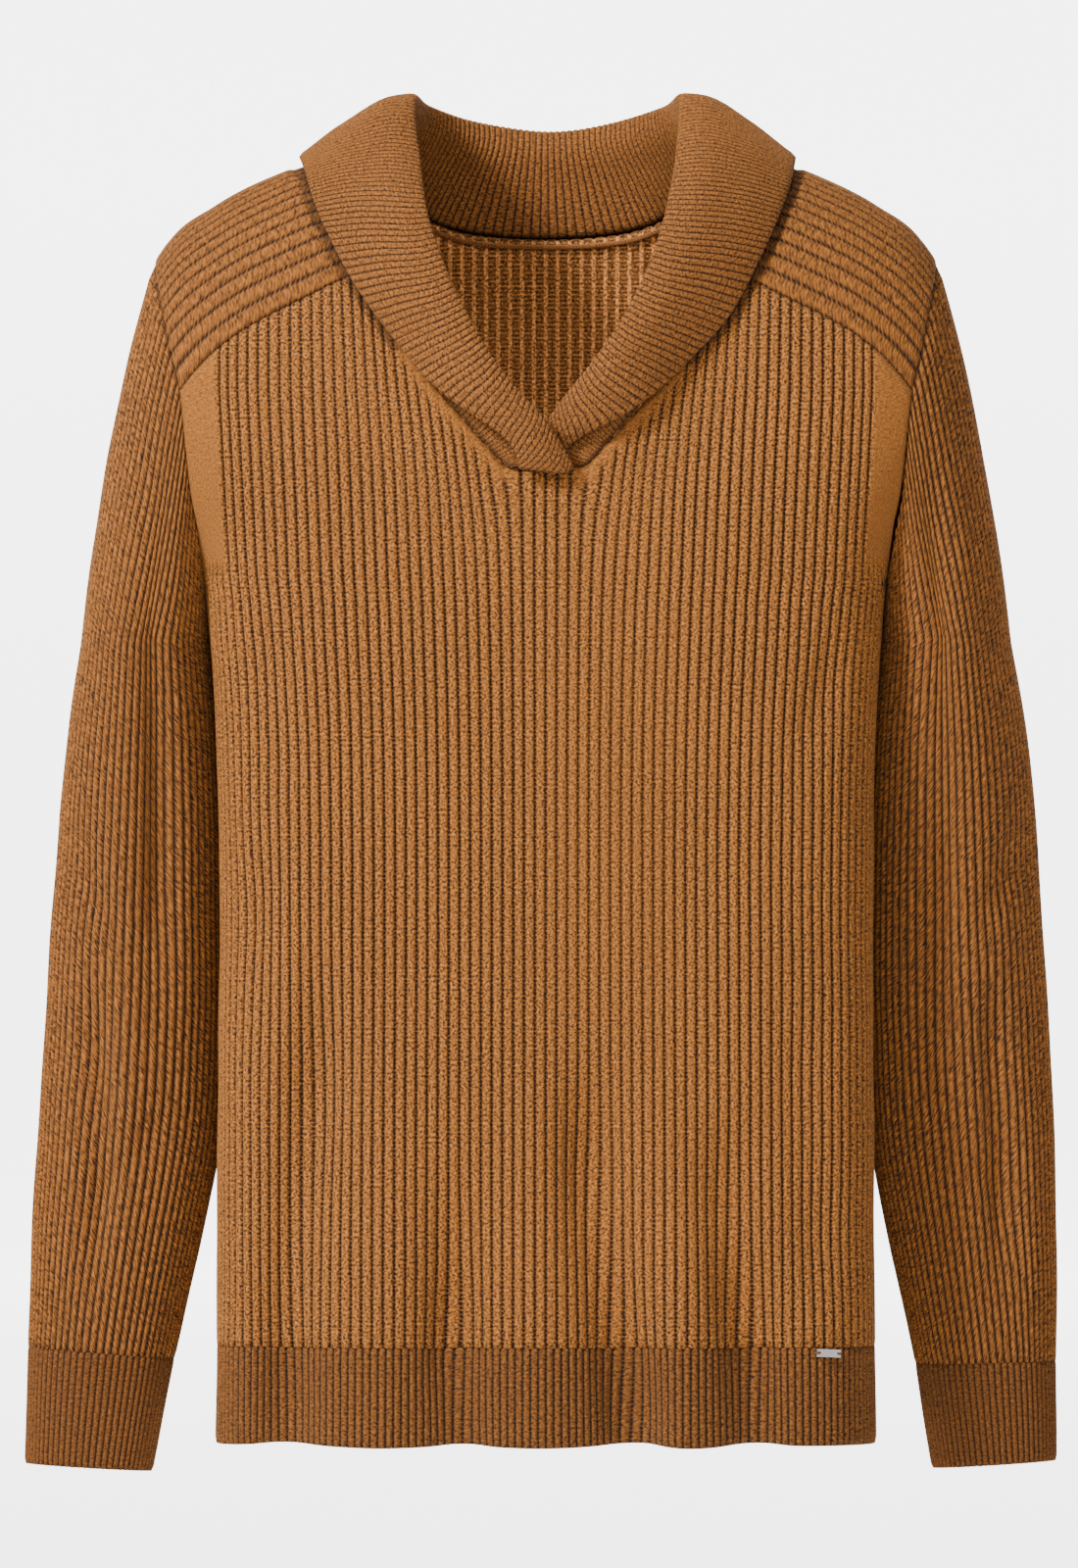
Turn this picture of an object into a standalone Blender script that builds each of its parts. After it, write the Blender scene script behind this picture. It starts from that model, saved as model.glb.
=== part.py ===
"""Shawl collar pullover in rib knit, filled out as it is worn, with nobody in it.

Metres, +Z up. The front faces -Y and +X is the viewer's right. The origin is midway between the
two points where the shoulders meet the neck, which is where a wearer's shoulders carry the garment.

The torso is one form: at each height a rounded oval, its front flatter than its back, which rolls
over to a shoulder ridge at the top. The front, back, saddle yokes and hem bands are walls on that
form, and they share the points of their seams. The sleeves are lofts from the armholes to the
cuffs. The collar is a folded band carried by three rails: its neck seam, its fold and its free edge.
"""

import math

import bmesh
import bpy
import numpy as np
from mathutils import Matrix, Vector

MM = 0.001

# Cloth
KNIT_THICKNESS = 2.5 * MM
COLLAR_THICKNESS = 2.5 * MM
SEAM_GAP = 0.65 * MM
ARMHOLE_LIFT = 0.9 * MM

# How far the sleeve cap swells out between the armhole and the first ring of the sleeve
CAP_FULLNESS = 9.0 * MM

# Heights, measured up from the points where the shoulders meet the neck
ARMHOLE_TOP_HEIGHT = -51.5 * MM
UNDERARM_HEIGHT = -213.5 * MM
ROLL_HEIGHT = -200.0 * MM
HEM_SEAM_HEIGHT = -603.5 * MM
HEM_HEIGHT = -653.5 * MM

# Size of the torso oval on which the share of its cloth up to each turn is measured
USUAL_HALF_WIDTH = 168.0 * MM
USUAL_DEPTH = 80.0 * MM

# Roundness of the torso oval, front and back, and of the roll over the shoulder: 2 is an ellipse
FRONT_POWER = 4.0
BACK_POWER = 2.6
ROLL_POWER = 2.6

# Grid of each wall
ROWS_BELOW_UNDERARM = 8
ROWS_AT_ARMHOLE = 7
ARMHOLE_SPREAD = 0.8
COLUMNS_AT_YOKE = 6
COLUMNS_AT_NECK = 6
COLUMNS_AT_V = 2
SIDE_BEND = 6
ROWS_OVER_YOKE = 8
ROWS_OF_SLEEVE = 10
ROWS_OF_CAP = 3
STATIONS_OF_COLLAR = 20
PLACES_OF_COLLAR = (0, 0.6, 1.2, 2, 2.5, 3, 3.5, 4, 4.5, 5, 5.5, 6)

# Torso at each height, in mm: half width, depth in front of and behind the side line, and the
# side line's own place along Y
TORSO_COLUMNS = ("height", "half_width", "front", "back", "side_line")
TORSO_ROWS = (
    (30, 222, 80, 91, -5),
    (-52, 219, 80, 91, -5),
    (-98, 215, 81, 92, -5),
    (-132, 207, 82, 92, -6),
    (-168, 192, 82, 91, -7),
    (-190, 181, 81, 90, -8),
    (-205, 175.6, 81, 89, -8.5),
    (-214, 173.8, 80, 88, -9),
    (-245, 171, 79, 87, -10),
    (-285, 168, 77, 85, -11),
    (-340, 166.5, 75, 83, -11),
    (-420, 166.5, 76, 85, -11),
    (-500, 167, 80, 90, -11),
    (-600, 167.5, 85, 95, -11),
    (-660, 168, 86, 96, -11),
)

# Shoulder ridge, in mm: how high it is at each distance from the middle
RIDGE_COLUMNS = ("across", "height")
RIDGE_ROWS = (
    (0, 14),
    (50, 11),
    (83, 6.5),
    (125, -1),
    (143, -8),
    (170, -22),
    (190, -37),
    (200, -51.5),
    (210, -75),
    (222, -110),
)

# Saddle seam on the front, in mm, from the neckline out to the armhole
YOKE_SEAM_COLUMNS = ("across", "height")
YOKE_SEAM_ROWS = (
    (85, -53),
    (108, -63),
    (124, -71),
    (142, -80),
    (158, -89.5),
    (171, -100),
    (180, -109.5),
    (186.5, -117.5),
)

# Edges of the saddle yoke over the shoulder, in mm, by the angle round the roll in degrees
YOKE_EDGE_COLUMNS = ("angle", "at_neck", "at_armhole")
YOKE_EDGE_ROWS = (
    (24, 80, 186.5),
    (34, 84, 191.5),
    (41, 85, 193.8),
    (57, 87, 197.5),
    (90, 83, 200),
    (118, 79, 198),
)
BACK_SEAM_ANGLE = 118.0

# Front neckline, in mm, from the foot of the V up to the saddle seam
NECKLINE_COLUMNS = ("height", "across")
NECKLINE_ROWS = (
    (-157, 21),
    (-142, 34),
    (-127, 47),
    (-110, 60.5),
    (-90, 72),
    (-76, 78),
    (-62, 82.5),
    (-53, 85),
)

# Back neckline, in mm, from the middle out to the saddle seam
BACK_NECK_COLUMNS = ("across", "height")
BACK_NECK_ROWS = (
    (0, -36.5),
    (25, -35.5),
    (50, -31),
    (68, -22),
    (79, -12),
)

# Sleeves from below the cap to the cuff, in mm: outer and inner edge as seen from the front, the
# depth of the tube's axis and its half depth
SLEEVE_COLUMNS = ("height", "outer", "inner", "axis", "half_depth")
SLEEVE_ROWS = {
    "left": (
        (-245, 237.5, 175.3, 6, 65),
        (-300, 245.5, 168.5, 14, 58),
        (-370, 252, 163.5, 22, 51),
        (-440, 256.8, 163, 26, 45),
        (-500, 260.8, 167, 25, 39),
        (-550, 263.8, 177.5, 22, 34),
        (-609, 265.5, 191.5, 20, 28.5),
    ),
    "right": (
        (-245, 237.5, 175.3, 6, 65),
        (-300, 247.5, 168.5, 14, 58),
        (-370, 253.5, 163.5, 22, 51),
        (-440, 258, 163, 26, 45),
        (-500, 260.8, 167, 25, 39),
        (-550, 261.5, 176, 22, 34),
        (-614, 261.7, 189.8, 20, 28.5),
    ),
}

# Cuffs, in mm: the slant is how far the ring drops from its outer to its inner edge
CUFF_COLUMNS = ("height", "outer", "inner", "axis", "half_depth", "slant")
CUFF_ROWS = {
    "left": (
        (-609, 265.5, 191.5, 20, 28.5, 6),
        (-640, 266.3, 197, 19.5, 26, 5),
        (-668, 266.8, 202.3, 19, 23.5, 4),
    ),
    "right": (
        (-614, 261.7, 189.8, 20, 28.5, 1.5),
        (-640, 261.8, 194, 19.5, 26, 2.5),
        (-666.5, 261.8, 198.4, 19, 23.5, 4),
    ),
}

# Soft folds that fall to the hem, in mm: where each meets the hem, where it fades out, how far
# its middle is from its edge, and how deep it is. A ridge has a depth below zero.
FOLD_GROWTH = 1.3
FOLD_COLUMNS = ("at_hem", "at_top", "top_height", "half_width", "depth")
FOLD_ROWS = {
    "front": (
        (-134, -114, -370, 17, 6.0),
        (-84, -88, -430, 20, -2.5),
        (-43, -52, -490, 12, 4.5),
        (-4, -8, -470, 22, -2.5),
        (42, 16, -420, 15, 5.5),
        (74, 58, -470, 16, -3.0),
        (106, 90, -470, 14, 5.5),
    ),
    "back": (
        (-118, -104, -400, 18, 5.0),
        (-62, -70, -380, 20, -3.0),
        (-20, -28, -440, 15, 5.5),
        (28, 20, -480, 20, -2.5),
        (70, 62, -420, 14, 5.0),
        (122, 108, -460, 17, 4.5),
    ),
}

# Collar, in mm, a row for each place from the end at the V round to the middle of the back: the
# neck seam, the fold and the free edge. Where the seam or the edge lies on the cloth of the body,
# its row names that side of the body in place of a depth along Y, which is then worked out.
COLLAR_COLUMNS = (
    "seam_x", "seam_y", "seam_z", "fold_x", "fold_y", "fold_z", "edge_x", "edge_y", "edge_z", "roll",
)
COLLAR_ROWS = {
    "left": (
        (-20, -89.6, -157.2, 14.5, -94, -157.6, -13.5, -98, -158.4, 3.6),
        (-24.2, "front", -153.5, 6.5, -97.5, -144, -15.5, -99.5, -150, 3.8),
        (-29.3, "front", -147.5, -1.5, -100, -132, -22, -100, -141.5, 4.2),
        (-35.7, "front", -140, -12, -100.5, -121, -33.5, -98.5, -133.5, 4.8),
        (-47, "front", -127, -26, -102, -103.5, -55.5, -96, -117.5, 5.4),
        (-61, "front", -109, -40, -101, -79, -77, "front", -94, 6.0),
        (-75, "front", -83, -51, -96, -55, -98, "front", -64, 6.5),
        (-83, "front", -60, -58.5, -86.5, -33.5, -112, "front", -37, 6.5),
        (-86.5, "front", -25, -64, -52, 2, -122, "front", -8.5, 6.5),
        (-81.5, "front", 6, -67, -7, 34, -126, 3, 5, 6.5),
        (-77, "back", -10, -58.5, 33, 30, -116, "back", -16, 6.5),
        (-53, "back", -30, -34, 58, 23.5, -74, "back", -45, 6.5),
        (0, "back", -36.5, 0, 66, 19, 0, "back", -53, 6.5),
    ),
    "right": (
        (20, -83.5, -156.9, -13, -79, -155, 6, -83, -155, 3.6),
        (24.2, "front", -153.5, -6, -80.5, -143.5, 9.5, -84.5, -150, 3.7),
        (29.3, "front", -147.5, 1.5, -85, -132.5, 14.5, -89, -144, 4.0),
        (36.5, "front", -139, 12.5, -94.5, -117.5, 37, -97.5, -132, 4.6),
        (47, "front", -127, 21.5, -101.5, -107, 53, -96, -121.5, 5.2),
        (61, "front", -109, 36, -101.5, -86.5, 75, "front", -102, 6.0),
        (72.5, "front", -88.5, 47.5, -98, -65, 94.5, "front", -79.5, 6.5),
        (81, "front", -66.5, 56, -92, -44.5, 108.5, "front", -53, 6.5),
        (86.4, "front", -36, 63.5, -72, -15, 121, "front", -24, 6.5),
        (86, "front", -8, 67.5, -34, 17, 126.5, "front", -3, 6.5),
        (81.5, "front", 6, 68.5, -6, 34, 127.5, 4, 5, 6.5),
        (77, "back", -10, 59.5, 33, 30, 117, "back", -16, 6.5),
        (53, "back", -30, 34.5, 58, 23.5, 74, "back", -45, 6.5),
        (0, "back", -36.5, 0, 66, 19, 0, "back", -53, 6.5),
    ),
}
EDGE_LIFT = 4.6 * MM
SEAM_CLEARANCE = 0.5 * MM

# Plate sewn on the front hem band
PLATE_CENTRE_X = 142.8 * MM
PLATE_HEIGHT = -606.4 * MM
PLATE_LENGTH = 14.0 * MM
PLATE_WIDTH = 4.0 * MM
PLATE_THICKNESS = 0.8 * MM
PLATE_TILT = math.radians(-3.0)
PLATE_HOLE_RADIUS = 0.75 * MM
PLATE_HOLE_FROM_END = 1.6 * MM
PLATE_STAND_OFF = -0.3 * MM

# Linking chain round the inside of the back neck
CHAIN_RADIUS = 1.1 * MM
CHAIN_HALF_SPAN = 63.0 * MM
CHAIN_POINTS = 25
CHAIN_DROP = 1.6 * MM
CHAIN_CLEARANCE = 0.8 * MM

CAMEL = (0.34, 0.142, 0.042, 1.0)
CAMEL_DARK = (0.25, 0.1, 0.028, 1.0)
METAL = (0.62, 0.6, 0.56, 1.0)


def column(names, rows, name):
    """One named column of a table, as an array."""
    return np.array([row[names.index(name)] for row in rows], float)


def eased(known, values, wanted):
    """Reads a smooth curve through a table: Hermite pieces with the slopes of neighbouring rows."""
    order = np.argsort(known)
    known = np.asarray(known, float)[order]
    values = np.asarray(values, float)[order]
    slopes = np.gradient(values, known)
    wanted = np.asarray(wanted, float)
    inside = np.clip(wanted, known[0], known[-1])
    left = np.clip(np.searchsorted(known, inside) - 1, 0, len(known) - 2)
    span = known[left + 1] - known[left]
    t = (inside - known[left]) / span
    start = (1 + 2 * t) * (1 - t) ** 2 * values[left] + t * (1 - t) ** 2 * span * slopes[left]
    end = t * t * (3 - 2 * t) * values[left + 1] - t * t * (1 - t) * span * slopes[left + 1]
    return start + end


def smooth_step(t):
    t = np.clip(t, 0, 1)
    return t * t * (3 - 2 * t)


def torso_size(name, z):
    heights = column(TORSO_COLUMNS, TORSO_ROWS, "height") * MM
    sizes = column(TORSO_COLUMNS, TORSO_ROWS, name) * MM
    return eased(heights, sizes, z)


def ridge_height(x):
    across = column(RIDGE_COLUMNS, RIDGE_ROWS, "across") * MM
    heights = column(RIDGE_COLUMNS, RIDGE_ROWS, "height") * MM
    return eased(across, heights, np.abs(x))


def power_of(side):
    return FRONT_POWER if side == "front" else BACK_POWER


def oval(turn, power):
    """Point of the unit rounded oval: 0 is the middle of the front or back, pi/2 is the side."""
    return np.sin(turn) ** (2 / power), np.cos(turn) ** (2 / power)


def turn_at(across, power):
    """The turn at which the unit rounded oval is this far across."""
    return np.arcsin(np.clip(across, 0, 1) ** (power / 2))


def share_table(power):
    """Turns and the share of the cloth between the middle and each of them."""
    turns = np.linspace(0, math.pi / 2, 400)
    across, deep = oval(turns, power)
    steps = np.hypot(np.diff(across * USUAL_HALF_WIDTH), np.diff(deep * USUAL_DEPTH))
    shares = np.concatenate([[0], np.cumsum(steps)])
    return turns, shares / shares[-1]


def share_of(turn, power):
    turns, shares = share_table(power)
    return np.interp(turn, turns, shares)


def turn_of(share, power):
    turns, shares = share_table(power)
    return np.interp(share, shares, turns)


def roll_share(x, z):
    """How much of the torso's depth is left where it rolls over to the shoulder ridge."""
    climb = np.clip((z - ROLL_HEIGHT) / (ridge_height(x) - ROLL_HEIGHT), 0, 1)
    return (1 - climb**ROLL_POWER) ** (1 / ROLL_POWER)


def fold_depth(x, z, side):
    """How far the soft folds push the cloth inwards here."""
    depth = np.zeros(np.broadcast(x, z).shape)
    for row in FOLD_ROWS[side]:
        fold = {name: value * MM for name, value in zip(FOLD_COLUMNS, row)}
        fall = np.clip((fold["top_height"] - z) / (fold["top_height"] - HEM_HEIGHT), 0, 1)
        middle = fold["at_top"] + (fold["at_hem"] - fold["at_top"]) * fall
        nearness = np.exp(-(((x - middle) / fold["half_width"]) ** 2))
        depth = depth + fold["depth"] * smooth_step(fall * FOLD_GROWTH) * nearness
    return depth


def torso_at(turn, z, side):
    """Point of the torso form at a signed turn from the middle and a height."""
    sign = np.where(turn < 0, -1.0, 1.0)
    across, deep = oval(np.abs(turn), power_of(side))
    x = sign * across * torso_size("half_width", z)
    facing = -1 if side == "front" else 1
    depth = torso_size(side, z) * deep * roll_share(x, z) - fold_depth(x, z, side) * deep
    y = torso_size("side_line", z) + facing * depth
    return np.stack(np.broadcast_arrays(x, y, z), axis=-1)


def torso_across(x, z, side):
    """Point of the torso form at a distance from the middle and a height."""
    turn = turn_at(np.abs(x) / torso_size("half_width", z), power_of(side))
    return torso_at(np.where(np.asarray(x) < 0, -turn, turn), z, side)


def shoulder_at(x, angle):
    """Point of the roll over the shoulder: 0 faces front, pi/2 is the ridge, pi faces back."""
    z = ROLL_HEIGHT + (ridge_height(x) - ROLL_HEIGHT) * np.sin(angle) ** (2 / ROLL_POWER)
    width = torso_size("half_width", z)
    front = np.asarray(angle) <= math.pi / 2
    power = np.where(front, FRONT_POWER, BACK_POWER)
    deep = (1 - np.clip(np.abs(x) / width, 0, 1) ** power) ** (1 / power)
    depth = np.where(front, -torso_size("front", z), torso_size("back", z))
    y = torso_size("side_line", z) + depth * deep * np.abs(np.cos(angle)) ** (2 / ROLL_POWER)
    return np.stack(np.broadcast_arrays(x, y, z), axis=-1)


def shoulder_angle(x, z):
    """Angle round the roll, on the front, at which it reaches this height."""
    climb = (z - ROLL_HEIGHT) / (ridge_height(x) - ROLL_HEIGHT)
    return np.arcsin(np.clip(climb, 0, 1) ** (ROLL_POWER / 2))


def yoke_front_seam(share):
    """Across and height of the saddle seam, from the neckline (0) out to the armhole (1)."""
    across = column(YOKE_SEAM_COLUMNS, YOKE_SEAM_ROWS, "across") * MM
    heights = column(YOKE_SEAM_COLUMNS, YOKE_SEAM_ROWS, "height") * MM
    x = across[0] + (across[-1] - across[0]) * np.asarray(share, float)
    return x, eased(across, heights, x)


def yoke_edges(angle):
    """Distances from the middle of the yoke's neck edge and armhole edge at an angle of the roll."""
    angles = np.radians(column(YOKE_EDGE_COLUMNS, YOKE_EDGE_ROWS, "angle"))
    neck = column(YOKE_EDGE_COLUMNS, YOKE_EDGE_ROWS, "at_neck") * MM
    armhole = column(YOKE_EDGE_COLUMNS, YOKE_EDGE_ROWS, "at_armhole") * MM
    return eased(angles, neck, angle), eased(angles, armhole, angle)


def yoke_point(along, over):
    """Point of the yoke: along is 0 at the neck and 1 at the armhole, over is 0 at the front seam
    and 1 at the back seam."""
    seam_x, seam_z = yoke_front_seam(along)
    start = shoulder_angle(seam_x, seam_z)
    end = math.radians(BACK_SEAM_ANGLE)
    angle = start + (end - start) * over
    neck, armhole = yoke_edges(angle)
    target = neck + (armhole - neck) * along
    first_neck, first_armhole = yoke_edges(start)
    drift = seam_x - (first_neck + (first_armhole - first_neck) * along)
    return shoulder_at(target + drift * (1 - over), angle)


def armhole_edge(corner, side, count):
    """Turns and heights of the armhole below the yoke, from the underarm up to the corner."""
    middle = (UNDERARM_HEIGHT + ARMHOLE_TOP_HEIGHT) / 2
    reach = middle - UNDERARM_HEIGHT
    last = math.acos(np.clip((middle - corner[2]) / reach, -1, 1))
    angles = last * np.linspace(0, 1, count + 1) ** ARMHOLE_SPREAD
    z = middle - reach * np.cos(angles)
    bulge = abs(corner[1] - torso_size("side_line", corner[2])) / math.sin(last)
    x = np.full(count + 1, abs(corner[0]))
    power = power_of(side)
    for _ in range(12):
        left = torso_size(side, z) * roll_share(x, z)
        deep = np.clip(bulge * np.sin(angles) / np.maximum(left, MM), 0, 1)
        turn = np.arccos(deep ** (power / 2))
        x = torso_size("half_width", z) * oval(turn, power)[0]
    turn[-1] = turn_at(abs(corner[0]) / torso_size("half_width", corner[2]), power)
    z[-1] = corner[2]
    return turn, z


def side_rows(corner, side, below, count):
    """Turns and heights of a panel's side edge: up the side seam, then up the armhole."""
    rising = np.linspace(HEM_SEAM_HEIGHT, UNDERARM_HEIGHT, below + 1)
    turns, heights = armhole_edge(corner, side, count)
    return (
        np.concatenate([np.full(below, math.pi / 2), turns]),
        np.concatenate([rising[:-1], heights]),
    )


def panel(top_x, top_z, side, below, at_armhole):
    """Grid of a panel between its two side edges, the hem seam and its top edge.

    Each column runs straight up the cloth from the hem seam to its place on the top edge. Only the
    columns near the sides bend, to follow the side seam and the armhole."""
    corner = torso_across(top_x[-1], top_z[-1], side)
    turns, heights = side_rows(corner, side, below, at_armhole)
    power = power_of(side)
    climb = ((heights - HEM_SEAM_HEIGHT) / (heights[-1] - HEM_SEAM_HEIGHT))[:, None]
    top_share = share_of(turn_at(np.abs(top_x) / torso_size("half_width", top_z), power), power)[None, :]
    ratio = top_share / top_share[:, -1:]
    share = ratio * (1 - climb) + top_share * climb
    share = share + (share_of(turns, power)[:, None] - share[:, -1:]) * ratio**SIDE_BEND
    turn = turn_of(share, power) * np.where(top_x < 0, -1.0, 1.0)[None, :]
    z = HEM_SEAM_HEIGHT + climb * (top_z - HEM_SEAM_HEIGHT)[None, :]
    grid = torso_at(turn, z, side)
    grid[-1] = torso_across(top_x, top_z, side)
    return grid


def front_top(at_yoke, at_neck, at_v):
    """Top edge of the front panel from armhole to armhole: saddle seam, neckline, foot of the V."""
    seam_x, seam_z = yoke_front_seam(np.linspace(1, 0, at_yoke + 1))
    heights = column(NECKLINE_COLUMNS, NECKLINE_ROWS, "height") * MM
    across = column(NECKLINE_COLUMNS, NECKLINE_ROWS, "across") * MM
    neck_z = np.linspace(heights[-1], heights[0], at_neck + 1)[1:]
    neck_x = eased(heights, across, neck_z)
    foot_x = np.linspace(neck_x[-1], 0, at_v + 1)[1:]
    half_x = np.concatenate([seam_x, neck_x, foot_x])
    half_z = np.concatenate([seam_z, neck_z, np.full(at_v, heights[0])])
    return (
        np.concatenate([-half_x, half_x[-2::-1]]),
        np.concatenate([half_z, half_z[-2::-1]]),
    )


def back_top(at_yoke, at_neck):
    """Top edge of the back panel from armhole to armhole: saddle seam, back neckline."""
    seam = yoke_point(np.linspace(1, 0, at_yoke + 1), 1.0)
    across = column(BACK_NECK_COLUMNS, BACK_NECK_ROWS, "across") * MM
    heights = column(BACK_NECK_COLUMNS, BACK_NECK_ROWS, "height") * MM
    heights[-1] = seam[-1, 2]
    neck_x = np.linspace(seam[-1, 0], 0, at_neck + 1)[1:]
    neck_z = eased(across, heights, neck_x)
    half_x = np.concatenate([seam[:, 0], neck_x])
    half_z = np.concatenate([seam[:, 2], neck_z])
    return (
        np.concatenate([-half_x, half_x[-2::-1]]),
        np.concatenate([half_z, half_z[-2::-1]]),
    )


def mirrored(grid):
    """The grid on the other side of the garment, its columns turned round so that it faces out."""
    return grid[:, ::-1] * np.array([-1.0, 1.0, 1.0])


def sleeve_ring(row, columns, angles, side):
    """Ring of a sleeve or cuff. Angle 0 faces the body, pi/2 faces front, pi faces out."""
    value = dict(zip(columns, row))
    sign = -1 if side == "left" else 1
    middle = (value["outer"] + value["inner"]) / 2 * MM
    half = (value["outer"] - value["inner"]) / 2 * MM
    x = middle - half * np.cos(angles)
    y = value["axis"] * MM - value["half_depth"] * MM * np.sin(angles)
    drop = value.get("slant", 0) * MM
    z = value["height"] * MM - drop * np.cos(angles) / 2
    return np.stack([sign * x, y, z], axis=-1)


def eased_rows(columns, rows, heights):
    """Rows of a table read at more heights."""
    known = column(columns, rows, "height")
    others = [eased(known, column(columns, rows, name), heights) for name in columns[1:]]
    return [tuple(values) for values in np.stack([np.asarray(heights, float), *others], axis=-1)]


def armhole_loop(at, front_grid, back_grid, yoke_grid, below):
    """The whole armhole: from the underarm up the front, over the yoke and down the back.

    The grids are of points or of normals, and the armhole is at their first or last column."""
    front = front_grid[below:, at]
    over = yoke_grid[1:-1, at]
    back = back_grid[below + 1:, at][::-1]
    return np.concatenate([front, over, back])


def sleeve_grid(side, loop, rows_of_cap, rows_of_sleeve):
    """Sleeve from the armhole down to the cuff seam, one column for each point of the armhole."""
    top = int(np.argmax(loop[:, 2]))
    steps = np.linalg.norm(np.diff(np.concatenate([loop, loop[:1]]), axis=0), axis=1)
    along = np.concatenate([[0], np.cumsum(steps)])
    total = along[-1]
    along = along[:-1]
    angles = np.where(
        along <= along[top],
        math.pi * along / along[top],
        math.pi + math.pi * (along - along[top]) / (total - along[top]),
    )
    heights = np.linspace(SLEEVE_ROWS[side][0][0], SLEEVE_ROWS[side][-1][0], rows_of_sleeve + 1)
    rows = eased_rows(SLEEVE_COLUMNS, SLEEVE_ROWS[side], heights)
    rings = [sleeve_ring(row, SLEEVE_COLUMNS, angles, side) for row in rows]
    rings[-1] = sleeve_ring(CUFF_ROWS[side][0], CUFF_COLUMNS, angles, side)
    first = rings[0]
    outwards = -1.0 if side == "left" else 1.0
    away = np.stack([-np.cos(angles) * outwards, -np.sin(angles), np.zeros_like(angles)], axis=-1)
    bend = (loop + first) / 2 + away * CAP_FULLNESS * (1 - np.cos(angles))[:, None] / 2
    cap = []
    for step in range(rows_of_cap):
        t = step / rows_of_cap
        cap.append((1 - t) ** 2 * loop + 2 * t * (1 - t) * bend + t * t * first)
    grid = np.stack(cap + rings)
    return grid, angles


def collar_rails(side):
    """Seam, fold and edge points and roll sizes of the collar, from the V to the middle of the back."""
    rails = {"seam": [], "fold": [], "edge": [], "roll": []}
    for row in COLLAR_ROWS[side]:
        value = dict(zip(COLLAR_COLUMNS, row))
        fold = np.array([value[f"fold_{axis}"] for axis in "xyz"]) * MM
        for name, lift, clearance in (("seam", -KNIT_THICKNESS, 1), ("edge", EDGE_LIFT, 0)):
            x, y, z = (value[f"{name}_{axis}"] for axis in "xyz")
            if isinstance(y, str):
                point = on_cloth(x * MM, z * MM, y, lift, fold, clearance)
            else:
                point = np.array([x, y, z]) * MM
            rails[name].append(point)
        rails["fold"].append(fold)
        rails["roll"].append(value["roll"] * MM)
    return {name: np.array(points) for name, points in rails.items()}


def on_cloth(x, z, side, lift, goal, clearance):
    """Point of the shoulders at a place and height on the front or back, moved out along its
    normal. With a clearance of 1 it also moves towards the goal, until a wall that rises from here
    to the goal clears the edge of the cloth."""
    angle = min(float(shoulder_angle(x, z)), math.pi / 2 - 0.01)
    if side == "back":
        angle = math.pi - angle
    point = shoulder_at(x, angle)
    run_across = shoulder_at(x + 0.5 * MM, angle) - shoulder_at(x - 0.5 * MM, angle)
    run_over = shoulder_at(x, angle + 0.01) - shoulder_at(x, angle - 0.01)
    normal = np.cross(run_across, run_over)
    normal /= np.linalg.norm(normal)
    along = goal - point
    rise = max(along.dot(normal) / np.linalg.norm(along), 0)
    along -= along.dot(normal) * normal
    shift = clearance * (SEAM_CLEARANCE + COLLAR_THICKNESS * rise)
    return point + lift * normal + shift * along / np.linalg.norm(along)


def profile_line(knots, places):
    """Points of a smooth line through knots. A place of 2.5 is halfway between knots 2 and 3."""
    steps = np.linalg.norm(np.diff(knots, axis=0), axis=1)
    along = np.concatenate([[0], np.cumsum(steps)])
    wanted = np.interp(places, np.arange(len(knots)), along)
    return np.stack([eased(along, knots[:, axis], wanted) for axis in range(3)], axis=-1)


def collar_face(stations, places):
    """Grid of the collar's face: up the stand's neck side, over the fold and down the fall.

    The stations run from the lapped end on the left, round the back, to the end on the right."""
    halves = []
    for side in ("left", "right"):
        rails = collar_rails(side)
        joined = np.concatenate(
            [rails["seam"], rails["fold"], rails["edge"], rails["roll"][:, None]], axis=1
        )
        halves.append(joined)
    whole = np.concatenate([halves[0], halves[1][-2::-1]])
    folds = whole[:, 3:6]
    steps = np.linalg.norm(np.diff(folds, axis=0), axis=1)
    along = np.concatenate([[0], np.cumsum(steps)])
    wanted = np.linspace(0, along[-1], stations * 2 + 1)
    read = np.stack([eased(along, whole[:, index], wanted) for index in range(10)], axis=-1)
    seam, fold, edge, roll = read[:, 0:3], read[:, 3:6], read[:, 6:9], read[:, 9:10]
    tangent = np.gradient(fold, axis=0)
    tangent /= np.linalg.norm(tangent, axis=1, keepdims=True)
    inward = (seam + edge) / 2 - fold
    inward -= (inward * tangent).sum(axis=1, keepdims=True) * tangent
    inward /= np.linalg.norm(inward, axis=1, keepdims=True)
    outward = np.cross(tangent, inward)
    behind = fold - outward * roll + inward * roll
    before = fold + outward * roll + inward * roll
    stand = (seam + behind) / 2 - outward * roll * 0.2
    fall = (before + edge) / 2 + outward * roll * 0.75
    profile = np.stack([seam, stand, behind, fold, before, fall, edge], axis=1)
    return np.stack([profile_line(knots, places) for knots in profile])


def face_normals(grid, around):
    """Normals of a grid's quads, with its columns closed into a ring or not."""
    other = np.roll(grid, -1, axis=1) if around else grid[:, 1:]
    base = grid if around else grid[:, :-1]
    first = other[1:] - base[:-1]
    second = base[1:] - other[:-1]
    return np.cross(first, second)


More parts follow.
